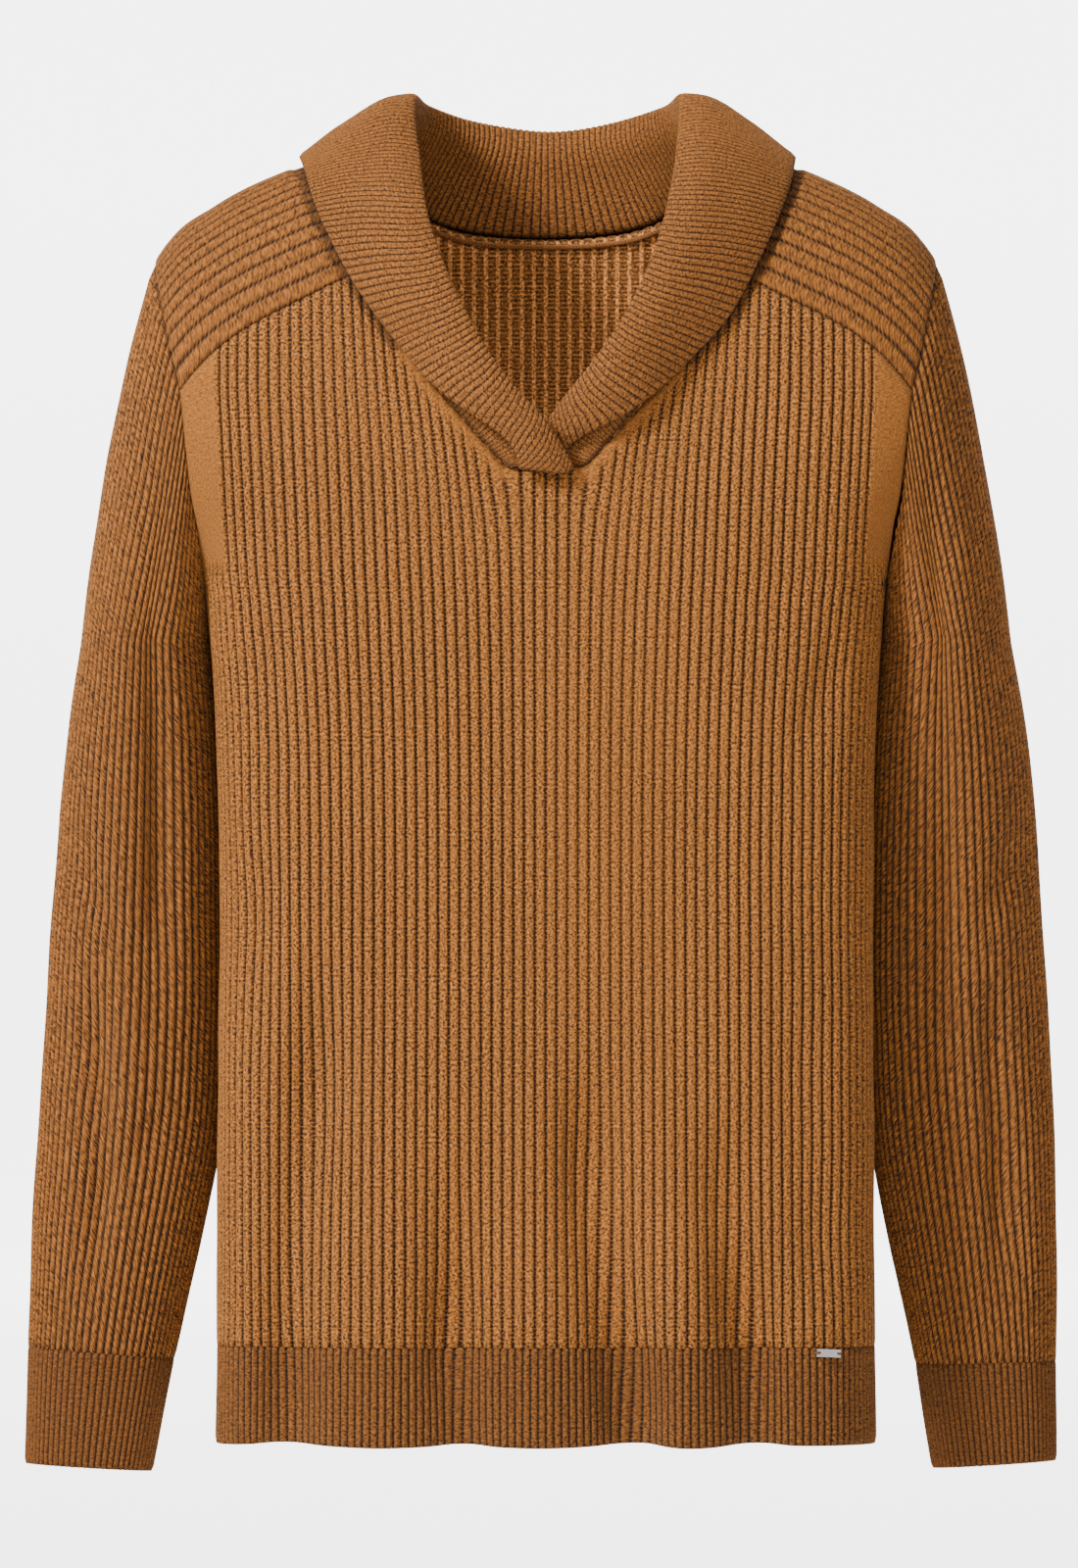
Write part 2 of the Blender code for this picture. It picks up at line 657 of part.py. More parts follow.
def gather_normals(surfaces):
    """Vertex normals of all grids, shared where the pieces share the points of a seam."""
    totals = {}
    for grid, around in surfaces.values():
        normals = face_normals(grid, around)
        rows, columns = grid.shape[:2]
        for i in range(rows - 1):
            for j in range(normals.shape[1]):
                for corner in ((i, j), (i + 1, j), (i, (j + 1) % columns), (i + 1, (j + 1) % columns)):
                    key = tuple(np.round(grid[corner] * 1e5).astype(int))
                    totals[key] = totals.get(key, 0) + normals[i, j]
    result = {}
    for name, (grid, _) in surfaces.items():
        normals = np.empty_like(grid)
        for index in np.ndindex(grid.shape[:2]):
            normals[index] = totals[tuple(np.round(grid[index] * 1e5).astype(int))]
        result[name] = normals / np.linalg.norm(normals, axis=2, keepdims=True)
    return result


def towards(own, torso):
    """Normals of a sleeve's top edge: the torso's over the shoulder, its own at the underarm, where
    the two cloths lie face to face."""
    share = smooth_step(((own * torso).sum(axis=-1, keepdims=True) - 0.1) / 0.6)
    mixed = own * (1 - share) + torso * share
    return mixed / np.linalg.norm(mixed, axis=-1, keepdims=True)


def drawn_in(grid, sides, distance):
    """The grid with the named boundary rows or columns drawn in, to leave half a seam gap."""
    grid = grid.copy()
    for edge, inner in sides:
        run = grid[inner] - grid[edge]
        grid[edge] = grid[edge] + distance * run / np.linalg.norm(run, axis=-1, keepdims=True)
    return grid


ALL_ROWS = ((np.s_[0], np.s_[1]), (np.s_[-1], np.s_[-2]))
ALL_COLUMNS = ((np.s_[:, 0], np.s_[:, 1]), (np.s_[:, -1], np.s_[:, -2]))


def material(name, colour, roughness, metallic=0.0):
    made = bpy.data.materials.new(name)
    made.use_nodes = True
    shader = made.node_tree.nodes["Principled BSDF"]
    shader.inputs["Base Color"].default_value = colour
    shader.inputs["Roughness"].default_value = roughness
    shader.inputs["Metallic"].default_value = metallic
    return made


def add_object(name, mesh, dressed, collection):
    obj = bpy.data.objects.new(name, mesh)
    obj.data.materials.append(dressed)
    collection.objects.link(obj)
    return obj


def wall_mesh(name, outer, inner, around):
    """Closed wall between an outer and an inner grid whose normals face out of the cloth."""
    rows, columns = outer.shape[:2]
    model = bmesh.new()
    out, back = [[[model.verts.new(point) for point in line] for line in grid] for grid in (outer, inner)]
    last = columns if around else columns - 1
    for j in range(last):
        k = (j + 1) % columns
        for i in range(rows - 1):
            model.faces.new((out[i][j], out[i][k], out[i + 1][k], out[i + 1][j]))
            model.faces.new((back[i][j], back[i + 1][j], back[i + 1][k], back[i][k]))
        model.faces.new((out[0][k], out[0][j], back[0][j], back[0][k]))
        model.faces.new((out[-1][j], out[-1][k], back[-1][k], back[-1][j]))
    for i in range(0 if around else rows - 1):
        model.faces.new((out[i][0], out[i + 1][0], back[i + 1][0], back[i][0]))
        model.faces.new((out[i + 1][-1], out[i][-1], back[i][-1], back[i + 1][-1]))
    mesh = bpy.data.meshes.new(name)
    model.to_mesh(mesh)
    model.free()
    mesh.shade_smooth()
    mesh.set_sharp_from_angle(angle=math.radians(40))
    return mesh


def add_wall(name, grid, facing, around, collection):
    """Cloth wall on a grid, drawn in at its seams."""
    colour = CAMEL_DARK if name.startswith(("cuff", "hem")) else CAMEL
    sides = ALL_ROWS if around else ALL_ROWS + ALL_COLUMNS
    outer = drawn_in(grid, sides, SEAM_GAP / 2)
    inner = drawn_in(grid - facing * KNIT_THICKNESS, sides, SEAM_GAP / 2)
    return add_object(name, wall_mesh(name, outer, inner, around), material(name, colour, 0.9), collection)


def hem_grid(side, panel_grid):
    """Hem band under a panel: its top edge is the panel's own, and it hangs to the hem."""
    top = panel_grid[0]
    width = torso_size("half_width", top[:, 2])
    turns = turn_at(np.abs(top[:, 0]) / width, power_of(side)) * np.where(top[:, 0] < 0, -1, 1)
    middle = (HEM_SEAM_HEIGHT + HEM_HEIGHT) / 2
    lower = [torso_at(turns, np.full(len(turns), z), side) for z in (HEM_HEIGHT, middle)]
    return np.stack([*lower, top])


def plate_mesh(name):
    """Flat plate with a hole near each end."""
    outline = bpy.data.curves.new(name + "_outline", "CURVE")
    outline.dimensions = "2D"
    outline.fill_mode = "BOTH"
    outline.extrude = PLATE_THICKNESS / 2
    corners = [
        (sx * PLATE_LENGTH / 2, sy * PLATE_WIDTH / 2) for sx, sy in ((-1, -1), (1, -1), (1, 1), (-1, 1))
    ]
    rim = outline.splines.new("POLY")
    rim.points.add(3)
    rim.use_cyclic_u = True
    for point, (x, y) in zip(rim.points, corners):
        point.co = (x, y, 0, 1)
    for end in (-1, 1):
        hole = outline.splines.new("POLY")
        hole.points.add(11)
        hole.use_cyclic_u = True
        for index, point in enumerate(hole.points):
            turn = 2 * math.pi * index / 12
            x = end * (PLATE_LENGTH / 2 - PLATE_HOLE_FROM_END) + PLATE_HOLE_RADIUS * math.cos(turn)
            point.co = (x, PLATE_HOLE_RADIUS * math.sin(turn), 0, 1)
    guide = bpy.data.objects.new(name + "_outline", outline)
    bpy.context.scene.collection.objects.link(guide)
    bpy.context.view_layer.update()
    mesh = bpy.data.meshes.new_from_object(guide.evaluated_get(bpy.context.evaluated_depsgraph_get()))
    bpy.data.objects.remove(guide, do_unlink=True)
    model = bmesh.new()
    model.from_mesh(mesh)
    bmesh.ops.remove_doubles(model, verts=model.verts, dist=0.00001)
    bmesh.ops.recalc_face_normals(model, faces=model.faces)
    model.to_mesh(mesh)
    model.free()
    mesh.materials.clear()
    mesh.name = name
    return mesh


def plate_place():
    """Where the plate lies: flat on the hem band, turned with the cloth and tilted a little."""
    step = 5 * MM
    here = torso_across(PLATE_CENTRE_X, PLATE_HEIGHT, "front")
    along = torso_across(PLATE_CENTRE_X + step, PLATE_HEIGHT, "front") - torso_across(
        PLATE_CENTRE_X - step, PLATE_HEIGHT, "front"
    )
    side = Vector(along).normalized()
    out = side.cross(Vector((0, 0, 1))).normalized()
    up = out.cross(side)
    turn = Matrix((side, up, out)).transposed().to_4x4() @ Matrix.Rotation(PLATE_TILT, 4, "Z")
    lift = PLATE_THICKNESS / 2 + PLATE_STAND_OFF
    return Matrix.Translation(Vector(here) + out * lift) @ turn


def chain_curve(name, dressed, collection):
    """Cord of linked stitches along the inside of the back neck, just under its seam."""
    across = column(BACK_NECK_COLUMNS, BACK_NECK_ROWS, "across") * MM
    heights = column(BACK_NECK_COLUMNS, BACK_NECK_ROWS, "height") * MM
    x = np.linspace(-CHAIN_HALF_SPAN, CHAIN_HALF_SPAN, CHAIN_POINTS)
    z = eased(across, heights, np.abs(x)) - CHAIN_DROP - CHAIN_RADIUS
    points = torso_across(x, z, "back")
    inner = KNIT_THICKNESS + CHAIN_RADIUS + CHAIN_CLEARANCE
    step = 1 * MM
    run = torso_across(x + step, z, "back") - torso_across(x - step, z, "back")
    rise = torso_across(x, z + step, "back") - torso_across(x, z - step, "back")
    normal = np.cross(rise, run)
    normal /= np.linalg.norm(normal, axis=1, keepdims=True)
    points = points - normal * inner
    cord = bpy.data.curves.new(name, "CURVE")
    cord.dimensions = "3D"
    cord.bevel_depth = CHAIN_RADIUS
    cord.bevel_resolution = 1
    cord.use_fill_caps = True
    line = cord.splines.new("POLY")
    line.points.add(len(points) - 1)
    for slot, point in zip(line.points, points):
        slot.co = (*point, 1)
    return add_object(name, cord, dressed, collection)


def main():
    for obj in list(bpy.data.objects):
        bpy.data.objects.remove(obj, do_unlink=True)
    collection = bpy.data.collections.new("shawl_collar_pullover")
    bpy.context.scene.collection.children.link(collection)

    below = ROWS_BELOW_UNDERARM
    front = panel(*front_top(COLUMNS_AT_YOKE, COLUMNS_AT_NECK, COLUMNS_AT_V), "front", below, ROWS_AT_ARMHOLE)
    back = panel(*back_top(COLUMNS_AT_YOKE, COLUMNS_AT_NECK), "back", below, ROWS_AT_ARMHOLE)
    along = np.linspace(0, 1, COLUMNS_AT_YOKE + 1)[None, :]
    over = np.linspace(0, 1, ROWS_OVER_YOKE + 1)[:, None]
    yoke_right = yoke_point(along, over)
    yoke_left = mirrored(yoke_right)
    torso = {
        "front_panel": (front, False),
        "back_panel": (back[:, ::-1], False),
        "yoke_right": (yoke_right, False),
        "yoke_left": (yoke_left, False),
        "hem_band_front": (hem_grid("front", front), False),
        "hem_band_back": (hem_grid("back", back)[:, ::-1], False),
    }
    facing = gather_normals(torso)
    for name, (grid, around) in torso.items():
        add_wall(name, grid, facing[name], around, collection)

    for side, yoke in (("left", yoke_left), ("right", yoke_right)):
        at = 0 if side == "left" else -1
        loop = armhole_loop(at, front, back, yoke, below)
        loop_facing = armhole_loop(
            at, facing["front_panel"], facing["back_panel"][:, ::-1], facing[f"yoke_{side}"], below
        )
        loop = loop + loop_facing * ARMHOLE_LIFT
        sleeve, angles = sleeve_grid(side, loop, ROWS_OF_CAP, ROWS_OF_SLEEVE)
        cuff = np.stack([sleeve_ring(row, CUFF_COLUMNS, angles, side) for row in CUFF_ROWS[side]])
        if side == "right":
            sleeve, cuff, loop_facing = sleeve[:, ::-1], cuff[:, ::-1], loop_facing[::-1]
        names = (f"sleeve_{side}", f"cuff_{side}")
        arm = {names[0]: (sleeve, True), names[1]: (cuff, True)}
        arm_facing = gather_normals(arm)
        arm_facing[names[0]][0] = towards(arm_facing[names[0]][0], loop_facing)
        for name, (grid, around) in arm.items():
            add_wall(name, grid, arm_facing[name], around, collection)

    face = collar_face(STATIONS_OF_COLLAR, PLACES_OF_COLLAR)[:, ::-1]
    facing = gather_normals({"collar": (face, False)})["collar"]
    mesh = wall_mesh("shawl_collar", face, face - facing * COLLAR_THICKNESS, False)
    add_object("shawl_collar", mesh, material("shawl_collar", CAMEL, 0.9), collection)

    plate = add_object("hem_plate", plate_mesh("hem_plate"), material("hem_plate", METAL, 0.35, 1.0), collection)
    plate.matrix_world = plate_place()
    chain_curve("neck_chain", material("neck_chain", CAMEL, 0.9), collection)


main()
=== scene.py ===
"""Shawl collar pullover in camel rib knit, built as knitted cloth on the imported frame.

Every cut piece is a closed shell of knit whose ribs, creases and tucked seams are real relief on
the garment's own form. The stitches inside the ribs come from the materials.
"""

from __future__ import annotations

import logging
import math
from dataclasses import dataclass, field, replace
from enum import Enum
from typing import Any

import bpy
import numpy as np
from mathutils import Matrix, Vector

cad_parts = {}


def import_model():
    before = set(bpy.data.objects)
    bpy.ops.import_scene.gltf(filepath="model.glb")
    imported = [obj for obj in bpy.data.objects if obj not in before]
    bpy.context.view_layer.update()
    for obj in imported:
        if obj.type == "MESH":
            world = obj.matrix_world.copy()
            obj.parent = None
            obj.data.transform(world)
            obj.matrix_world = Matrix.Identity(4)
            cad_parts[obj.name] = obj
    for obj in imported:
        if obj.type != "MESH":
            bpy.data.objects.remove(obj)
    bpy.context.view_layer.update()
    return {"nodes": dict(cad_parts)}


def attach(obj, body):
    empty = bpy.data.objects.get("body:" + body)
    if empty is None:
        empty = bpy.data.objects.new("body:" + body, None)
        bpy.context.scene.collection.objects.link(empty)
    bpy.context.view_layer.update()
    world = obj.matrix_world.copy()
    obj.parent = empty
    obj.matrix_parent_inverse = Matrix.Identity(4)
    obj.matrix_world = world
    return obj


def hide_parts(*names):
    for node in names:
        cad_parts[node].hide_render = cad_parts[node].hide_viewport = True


MM = 0.001
LOG = logging.getLogger("pullover")
Array = np.ndarray
Finish = bpy.types.Material
Rows = tuple[tuple[float, ...], ...]
Colour = tuple[float, float, float]


class Side(Enum):
    """Half of the torso."""

    FRONT = "front"
    BACK = "back"


class Hand(Enum):
    """Side of the garment as the viewer sees its front, with its direction along X."""

    LEFT = -1
    RIGHT = 1


# ---------------------------------------------------------------- helpers and tables


def eased(known: Array, values: Array, wanted: Array) -> Array:
    """Reads a smooth curve through known values, with the slopes of the neighbouring rows.

    Args:
        known: Places of the rows.
        values: Values of the rows.
        wanted: Places to read.

    Returns:
        The values at the wanted places.
    """
    order = np.argsort(known)
    known = np.asarray(known, float)[order]
    values = np.asarray(values, float)[order]
    slopes = np.gradient(values, known)
    inside = np.clip(np.asarray(wanted, float), known[0], known[-1])
    left = np.clip(np.searchsorted(known, inside) - 1, 0, len(known) - 2)
    span = known[left + 1] - known[left]
    t = (inside - known[left]) / span
    start = (1 + 2 * t) * (1 - t) ** 2 * values[left] + t * (1 - t) ** 2 * span * slopes[left]
    end = t * t * (3 - 2 * t) * values[left + 1] - t * t * (1 - t) * span * slopes[left + 1]
    return start + end


def smooth_step(t: Array) -> Array:
    """Returns t eased between 0 and 1, and held outside them."""
    t = np.clip(t, 0, 1)
    return t * t * (3 - 2 * t)


def unit(vectors: Array) -> Array:
    """Returns the vectors at length 1."""
    return vectors / np.maximum(np.linalg.norm(vectors, axis=-1, keepdims=True), 1e-12)


def half_of(place: Array) -> Array:
    """Returns -1 for places left of the middle and 1 for the others."""
    return np.where(place < 0, -1.0, 1.0)


def run_along(points: Array, axis: int = 0) -> Array:
    """Measures the way along lines of points.

    Args:
        points: Points, with their coordinates along the last axis.
        axis: Axis of the array that the lines run along.

    Returns:
        The way from the start of its line to each point.
    """
    steps = np.linalg.norm(np.diff(points, axis=axis), axis=-1)
    return np.concatenate([np.zeros_like(np.take(steps, [0], axis)), np.cumsum(steps, axis)], axis)


def add_object(name: str, data: Any) -> bpy.types.Object:
    """Adds an object to the scene.

    Args:
        name: Its name.
        data: Its mesh, curve, lamp or camera.

    Returns:
        The object.
    """
    made = bpy.data.objects.new(name, data)
    bpy.context.scene.collection.objects.link(made)
    return made


@dataclass(frozen=True)
class Table:
    """Rows of sizes in millimetres under named columns, read as smooth curves."""

    columns: tuple[str, ...]
    rows: Rows

    def values(self, name: str) -> Array:
        """Returns one column, in millimetres."""
        return np.array([row[self.columns.index(name)] for row in self.rows], float)

    def read(self, name: str, at: Array, by: str = "height") -> Array:
        """Reads a column as a smooth curve.

        Args:
            name: Column to read.
            at: Places along the column that orders the rows, in metres.
            by: That column's name.

        Returns:
            The sizes there, in metres.
        """
        return eased(self.values(by), self.values(name), np.asarray(at) / MM) * MM


# ---------------------------------------------------------------- the garment's form


@dataclass(frozen=True)
class Form:
    """The garment's own shape: one rounded torso that rolls over to a shoulder ridge."""

    underarm: float = -213.5 * MM
    armhole_top: float = -51.5 * MM
    roll: float = -200.0 * MM
    hem_seam: float = -603.5 * MM
    hem: float = -653.5 * MM
    roundness: dict[Side, float] = field(default_factory=lambda: {Side.FRONT: 4.0, Side.BACK: 2.6})
    roll_roundness: float = 2.6
    armhole_spread: float = 0.8
    back_seam_angle: float = 118.0
    usual_half_width: float = 168.0 * MM
    usual_depth: float = 80.0 * MM
    fold_growth: float = 1.3
    turn_steps: int = 2400
    bisections: int = 40
    torso: Table = Table(
        ("height", "half_width", "front", "back", "side_line"),
        (
            (30, 222, 80, 91, -5), (-52, 219, 80, 91, -5), (-98, 215, 81, 92, -5),
            (-132, 207, 82, 92, -6), (-168, 192, 82, 91, -7), (-190, 181, 81, 90, -8),
            (-205, 175.6, 81, 89, -8.5), (-214, 173.8, 80, 88, -9), (-245, 171, 79, 87, -10),
            (-285, 168, 77, 85, -11), (-340, 166.5, 75, 83, -11), (-420, 166.5, 76, 85, -11),
            (-500, 167, 80, 90, -11), (-600, 167.5, 85, 95, -11), (-660, 168, 86, 96, -11),
        ),
    )
    ridge: Table = Table(
        ("across", "height"),
        (
            (0, 14), (50, 11), (83, 6.5), (125, -1), (143, -8), (170, -22), (190, -37),
            (200, -51.5), (210, -75), (222, -110),
        ),
    )
    yoke_seam: Table = Table(
        ("across", "height"),
        (
            (85, -53), (108, -63), (124, -71), (142, -80), (158, -89.5), (171, -100),
            (180, -109.5), (186.5, -117.5),
        ),
    )
    yoke_edge: Table = Table(
        ("angle", "at_neck", "at_armhole"),
        (
            (24, 80, 186.5), (34, 84, 191.5), (41, 85, 193.8), (57, 87, 197.5), (90, 83, 200),
            (118, 79, 198),
        ),
    )
    neckline: Table = Table(
        ("height", "across"),
        (
            (-157, 21), (-142, 34), (-127, 47), (-110, 60.5), (-90, 72), (-76, 78), (-62, 82.5),
            (-53, 85),
        ),
    )
    back_neck: Table = Table(
        ("across", "height"), ((0, -36.5), (25, -35.5), (50, -31), (68, -22), (79, -12))
    )
    fold_columns: tuple[str, ...] = ("at_hem", "at_top", "top_height", "half_width", "depth")
    folds: dict[Side, Rows] = field(
        default_factory=lambda: {
            Side.FRONT: (
                (-134, -114, -370, 17, 6.0), (-84, -88, -430, 20, -2.5), (-43, -52, -490, 12, 4.5),
                (-4, -8, -470, 22, -2.5), (42, 16, -420, 15, 5.5), (74, 58, -470, 16, -3.0),
                (106, 90, -470, 14, 5.5),
            ),
            Side.BACK: (
                (-118, -104, -400, 18, 5.0), (-62, -70, -380, 20, -3.0), (-20, -28, -440, 15, 5.5),
                (28, 20, -480, 20, -2.5), (70, 62, -420, 14, 5.0), (122, 108, -460, 17, 4.5),
            ),
        }
    )

    def ridge_height(self, x: Array) -> Array:
        """Returns the height of the shoulder ridge at a distance from the middle."""
        return self.ridge.read("height", np.abs(x), "across")

    def oval(self, turn: Array, side: Side) -> tuple[Array, Array]:
        """Returns how far across and how deep the unit oval is at a turn from the middle."""
        power = 2 / self.roundness[side]
        return np.sin(turn) ** power, np.cos(turn) ** power

    def turn_at(self, across: Array, side: Side) -> Array:
        """Returns the turn at which the unit oval is this far across."""
        return np.arcsin(np.clip(across, 0, 1) ** (self.roundness[side] / 2))

    def shares(self, side: Side) -> tuple[Array, Array]:
        """Measures the cloth round the usual oval.

        Args:
            side: Front or back.

        Returns:
            Turns, and the share of the cloth between the middle and each.
        """
        turns = math.pi / 2 * np.sin(np.linspace(0, math.pi / 2, self.turn_steps)) ** 2
        across, deep = self.oval(turns, side)
        steps = np.hypot(np.diff(across * self.usual_half_width), np.diff(deep * self.usual_depth))
        along = np.concatenate([[0], np.cumsum(steps)])
        return turns, along / along[-1]

    def share_of(self, turn: Array, side: Side) -> Array:
        """Returns the share of the cloth between the middle and a turn."""
        turns, shares = self.shares(side)
        return np.interp(turn, turns, shares)

    def turn_of(self, share: Array, side: Side) -> Array:
        """Returns the turn at a share of the cloth."""
        turns, shares = self.shares(side)
        return np.interp(share, shares, turns)

    def roll_share(self, x: Array, z: Array) -> Array:
        """Returns how much of the depth is left where the torso rolls over to the ridge."""
        climb = np.clip((z - self.roll) / (self.ridge_height(x) - self.roll), 0, 1)
        return (1 - climb**self.roll_roundness) ** (1 / self.roll_roundness)

    def fold_depth(self, x: Array, z: Array, side: Side) -> Array:
        """How far the soft folds above the hem push the cloth inwards.

        Args:
            x: Distances from the middle.
            z: Heights.
            side: Front or back.

        Returns:
            Depths in metres.
        """
        depth = np.zeros(np.broadcast(x, z).shape)
        for row in self.folds[side]:
            fold = {name: value * MM for name, value in zip(self.fold_columns, row)}
            fall = np.clip((fold["top_height"] - z) / (fold["top_height"] - self.hem), 0, 1)
            middle = fold["at_top"] + (fold["at_hem"] - fold["at_top"]) * fall
            nearness = np.exp(-(((x - middle) / fold["half_width"]) ** 2))
            depth = depth + fold["depth"] * smooth_step(fall * self.fold_growth) * nearness
        return depth

    def at(self, turn: Array, z: Array, side: Side) -> Array:
        """Points of the torso.

        Args:
            turn: Signed turns from the middle of the front or back.
            z: Heights.
            side: Front or back.

        Returns:
            The points, with their coordinates along the last axis.
        """
        across, deep = self.oval(np.abs(turn), side)
        x = half_of(turn) * across * self.torso.read("half_width", z)
        facing = -1 if side is Side.FRONT else 1
        depth = self.torso.read(side.value, z) * self.roll_share(x, z) - self.fold_depth(x, z, side)
        y = self.torso.read("side_line", z) + facing * depth * deep
        return np.stack(np.broadcast_arrays(x, y, z), axis=-1)

    def across(self, x: Array, z: Array, side: Side) -> Array:
        """Returns points of the torso at distances from the middle and heights."""
        turn = self.turn_at(np.abs(x) / self.torso.read("half_width", z), side)
        return self.at(np.where(np.asarray(x) < 0, -turn, turn), z, side)

    def shoulder(self, x: Array, angle: Array) -> Array:
        """Points of the roll over the shoulder.

        Args:
            x: Distances from the middle.
            angle: 0 faces front, a quarter turn is the ridge, a half turn faces back.

        Returns:
            The points.
        """
        bulge = np.sin(angle) ** (2 / self.roll_roundness)
        z = self.roll + (self.ridge_height(x) - self.roll) * bulge
        front = np.asarray(angle) <= math.pi / 2
        power = np.where(front, self.roundness[Side.FRONT], self.roundness[Side.BACK])
        width = self.torso.read("half_width", z)
        deep = (1 - np.clip(np.abs(x) / width, 0, 1) ** power) ** (1 / power)
        depth = np.where(front, -self.torso.read("front", z), self.torso.read("back", z))
        reach = np.abs(np.cos(angle)) ** (2 / self.roll_roundness)
        y = self.torso.read("side_line", z) + depth * deep * reach
        return np.stack(np.broadcast_arrays(x, y, z), axis=-1)

    def shoulder_angle(self, x: Array, z: Array) -> Array:
        """Returns the angle on the front at which the roll reaches a height."""
        climb = (z - self.roll) / (self.ridge_height(x) - self.roll)
        return np.arcsin(np.clip(climb, 0, 1) ** (self.roll_roundness / 2))

    def front_seam(self, share: Array) -> tuple[Array, Array]:
        """Line of the saddle seam on the front.

        Args:
            share: 0 at the neck, 1 at the armhole.

        Returns:
            Distances from the middle and heights.
        """
        across = self.yoke_seam.values("across") * MM
        x = across[0] + (across[-1] - across[0]) * np.asarray(share, float)
        return x, self.yoke_seam.read("height", x, "across")

    def yoke_edges(self, angle: Array) -> tuple[Array, Array]:
        """Ends of the yoke's ribs.

        Args:
            angle: Angles of the roll over the shoulder.

        Returns:
            How far out its neck edge is, and its armhole edge.
        """
        angles = np.radians(self.yoke_edge.values("angle"))
        neck = eased(angles, self.yoke_edge.values("at_neck"), angle) * MM
        return neck, eased(angles, self.yoke_edge.values("at_armhole"), angle) * MM

    def yoke(self, along: Array, over: Array) -> Array:
        """Points of the right yoke.

        Args:
            along: 0 at the neck, 1 at the armhole.
            over: 0 at the front seam, 1 at the back seam.

        Returns:
            The points.
        """
        seam_x, seam_z = self.front_seam(along)
        start = self.shoulder_angle(seam_x, seam_z)
        angle = start + (math.radians(self.back_seam_angle) - start) * over
        neck, armhole = self.yoke_edges(angle)
        first_neck, first_armhole = self.yoke_edges(start)
        drift = seam_x - (first_neck + (first_armhole - first_neck) * along)
        return self.shoulder(neck + (armhole - neck) * along + drift * (1 - over), angle)

    def armhole_edge(self, corner: Array, side: Side, count: int) -> tuple[Array, Array]:
        """The armhole below the yoke.

        Args:
            corner: Point where the armhole meets the yoke.
            side: Front or back.
            count: How many steps it takes.

        Returns:
            Turns and heights, from the underarm up.
        """
        middle = (self.underarm + self.armhole_top) / 2
        reach = middle - self.underarm
        last = math.acos(np.clip((middle - corner[2]) / reach, -1, 1))
        angles = last * np.linspace(0, 1, count + 1) ** self.armhole_spread
        z = middle - reach * np.cos(angles)
        side_line = self.torso.read("side_line", corner[2])
        bulge = abs(corner[1] - side_line) / math.sin(last)
        width, power = self.torso.read("half_width", z), self.roundness[side]
        near, far = np.zeros(count + 1), width.copy()
        for _ in range(self.bisections):
            x = (near + far) / 2
            deep = (1 - (x / width) ** power) ** (1 / power)
            depth = self.torso.read(side.value, z) * self.roll_share(x, z) * deep
            inside = depth > bulge * np.sin(angles)
            near, far = np.where(inside, x, near), np.where(inside, far, x)
        turn = self.turn_at(near / width, side)
        turn[-1] = self.turn_at(abs(corner[0]) / self.torso.read("half_width", corner[2]), side)
        z[-1] = corner[2]
        return turn, z

    def top_edge(self, side: Side, count: int = 160) -> tuple[Array, Array]:
        """Right half of a panel's top edge.

        Args:
            side: Front or back.
            count: How many points each of its stretches has.

        Returns:
            Distances from the middle and heights, from the middle out to the armhole.
        """
        out = np.linspace(0, 1, count)
        if side is Side.FRONT:
            seam_x, seam_z = self.front_seam(out)
            neck_z = np.linspace(self.neckline.values("height")[0] * MM, seam_z[0], count)
            neck_x = self.neckline.read("across", neck_z)
            foot_x = np.linspace(0, neck_x[0], count)
            x = np.concatenate([foot_x[:-1], neck_x[:-1], seam_x])
            z = np.concatenate([np.full(count - 1, neck_z[0]), neck_z[:-1], seam_z])
            return x, z
        seam = self.yoke(out, 1.0)
        heights = self.back_neck.values("height") * MM
        heights[-1] = seam[0, 2]
        neck_x = np.linspace(0, seam[0, 0], count)
        neck_z = eased(self.back_neck.values("across") * MM, heights, neck_x)
        return np.concatenate([neck_x[:-1], seam[:, 0]]), np.concatenate([neck_z[:-1], seam[:, 2]])

    def armhole_loop(self, hand: Hand, count: int = 60) -> Array:
        """The whole armhole.

        Args:
            hand: Which armhole.
            count: How many points each of its three stretches has.

        Returns:
            Points from the underarm up the front, over the yoke and down the back.
        """
        halves = []
        for side in Side:
            top_x, top_z = self.top_edge(side)
            corner = self.across(top_x[-1], top_z[-1], side)
            turns, heights = self.armhole_edge(corner, side, count)
            halves.append(self.at(turns, heights, side))
        over = self.yoke(1.0, np.linspace(0, 1, count)[1:-1])
        loop = np.concatenate([halves[0], over, halves[1][::-1][:-1]])
        return loop * np.array([hand.value, 1.0, 1.0])


# ---------------------------------------------------------------- knitted shells


def gap_to(points: Array, line: Array) -> Array:
    """Measures how far points are from a line.

    Args:
        points: Points, with their coordinates along the last axis.
        line: Points of the line, in order.

    Returns:
        The distance of each to the nearest part of the line.
    """
    nearest = np.full(points.shape[:-1], np.inf)
    for start, end in zip(line[:-1], line[1:]):
        run = end - start
        share = np.clip((points - start) @ run / max(run @ run, 1e-12), 0, 1)
        nearest = np.minimum(nearest, np.linalg.norm(points - start - share[..., None] * run, axis=-1))
    return nearest


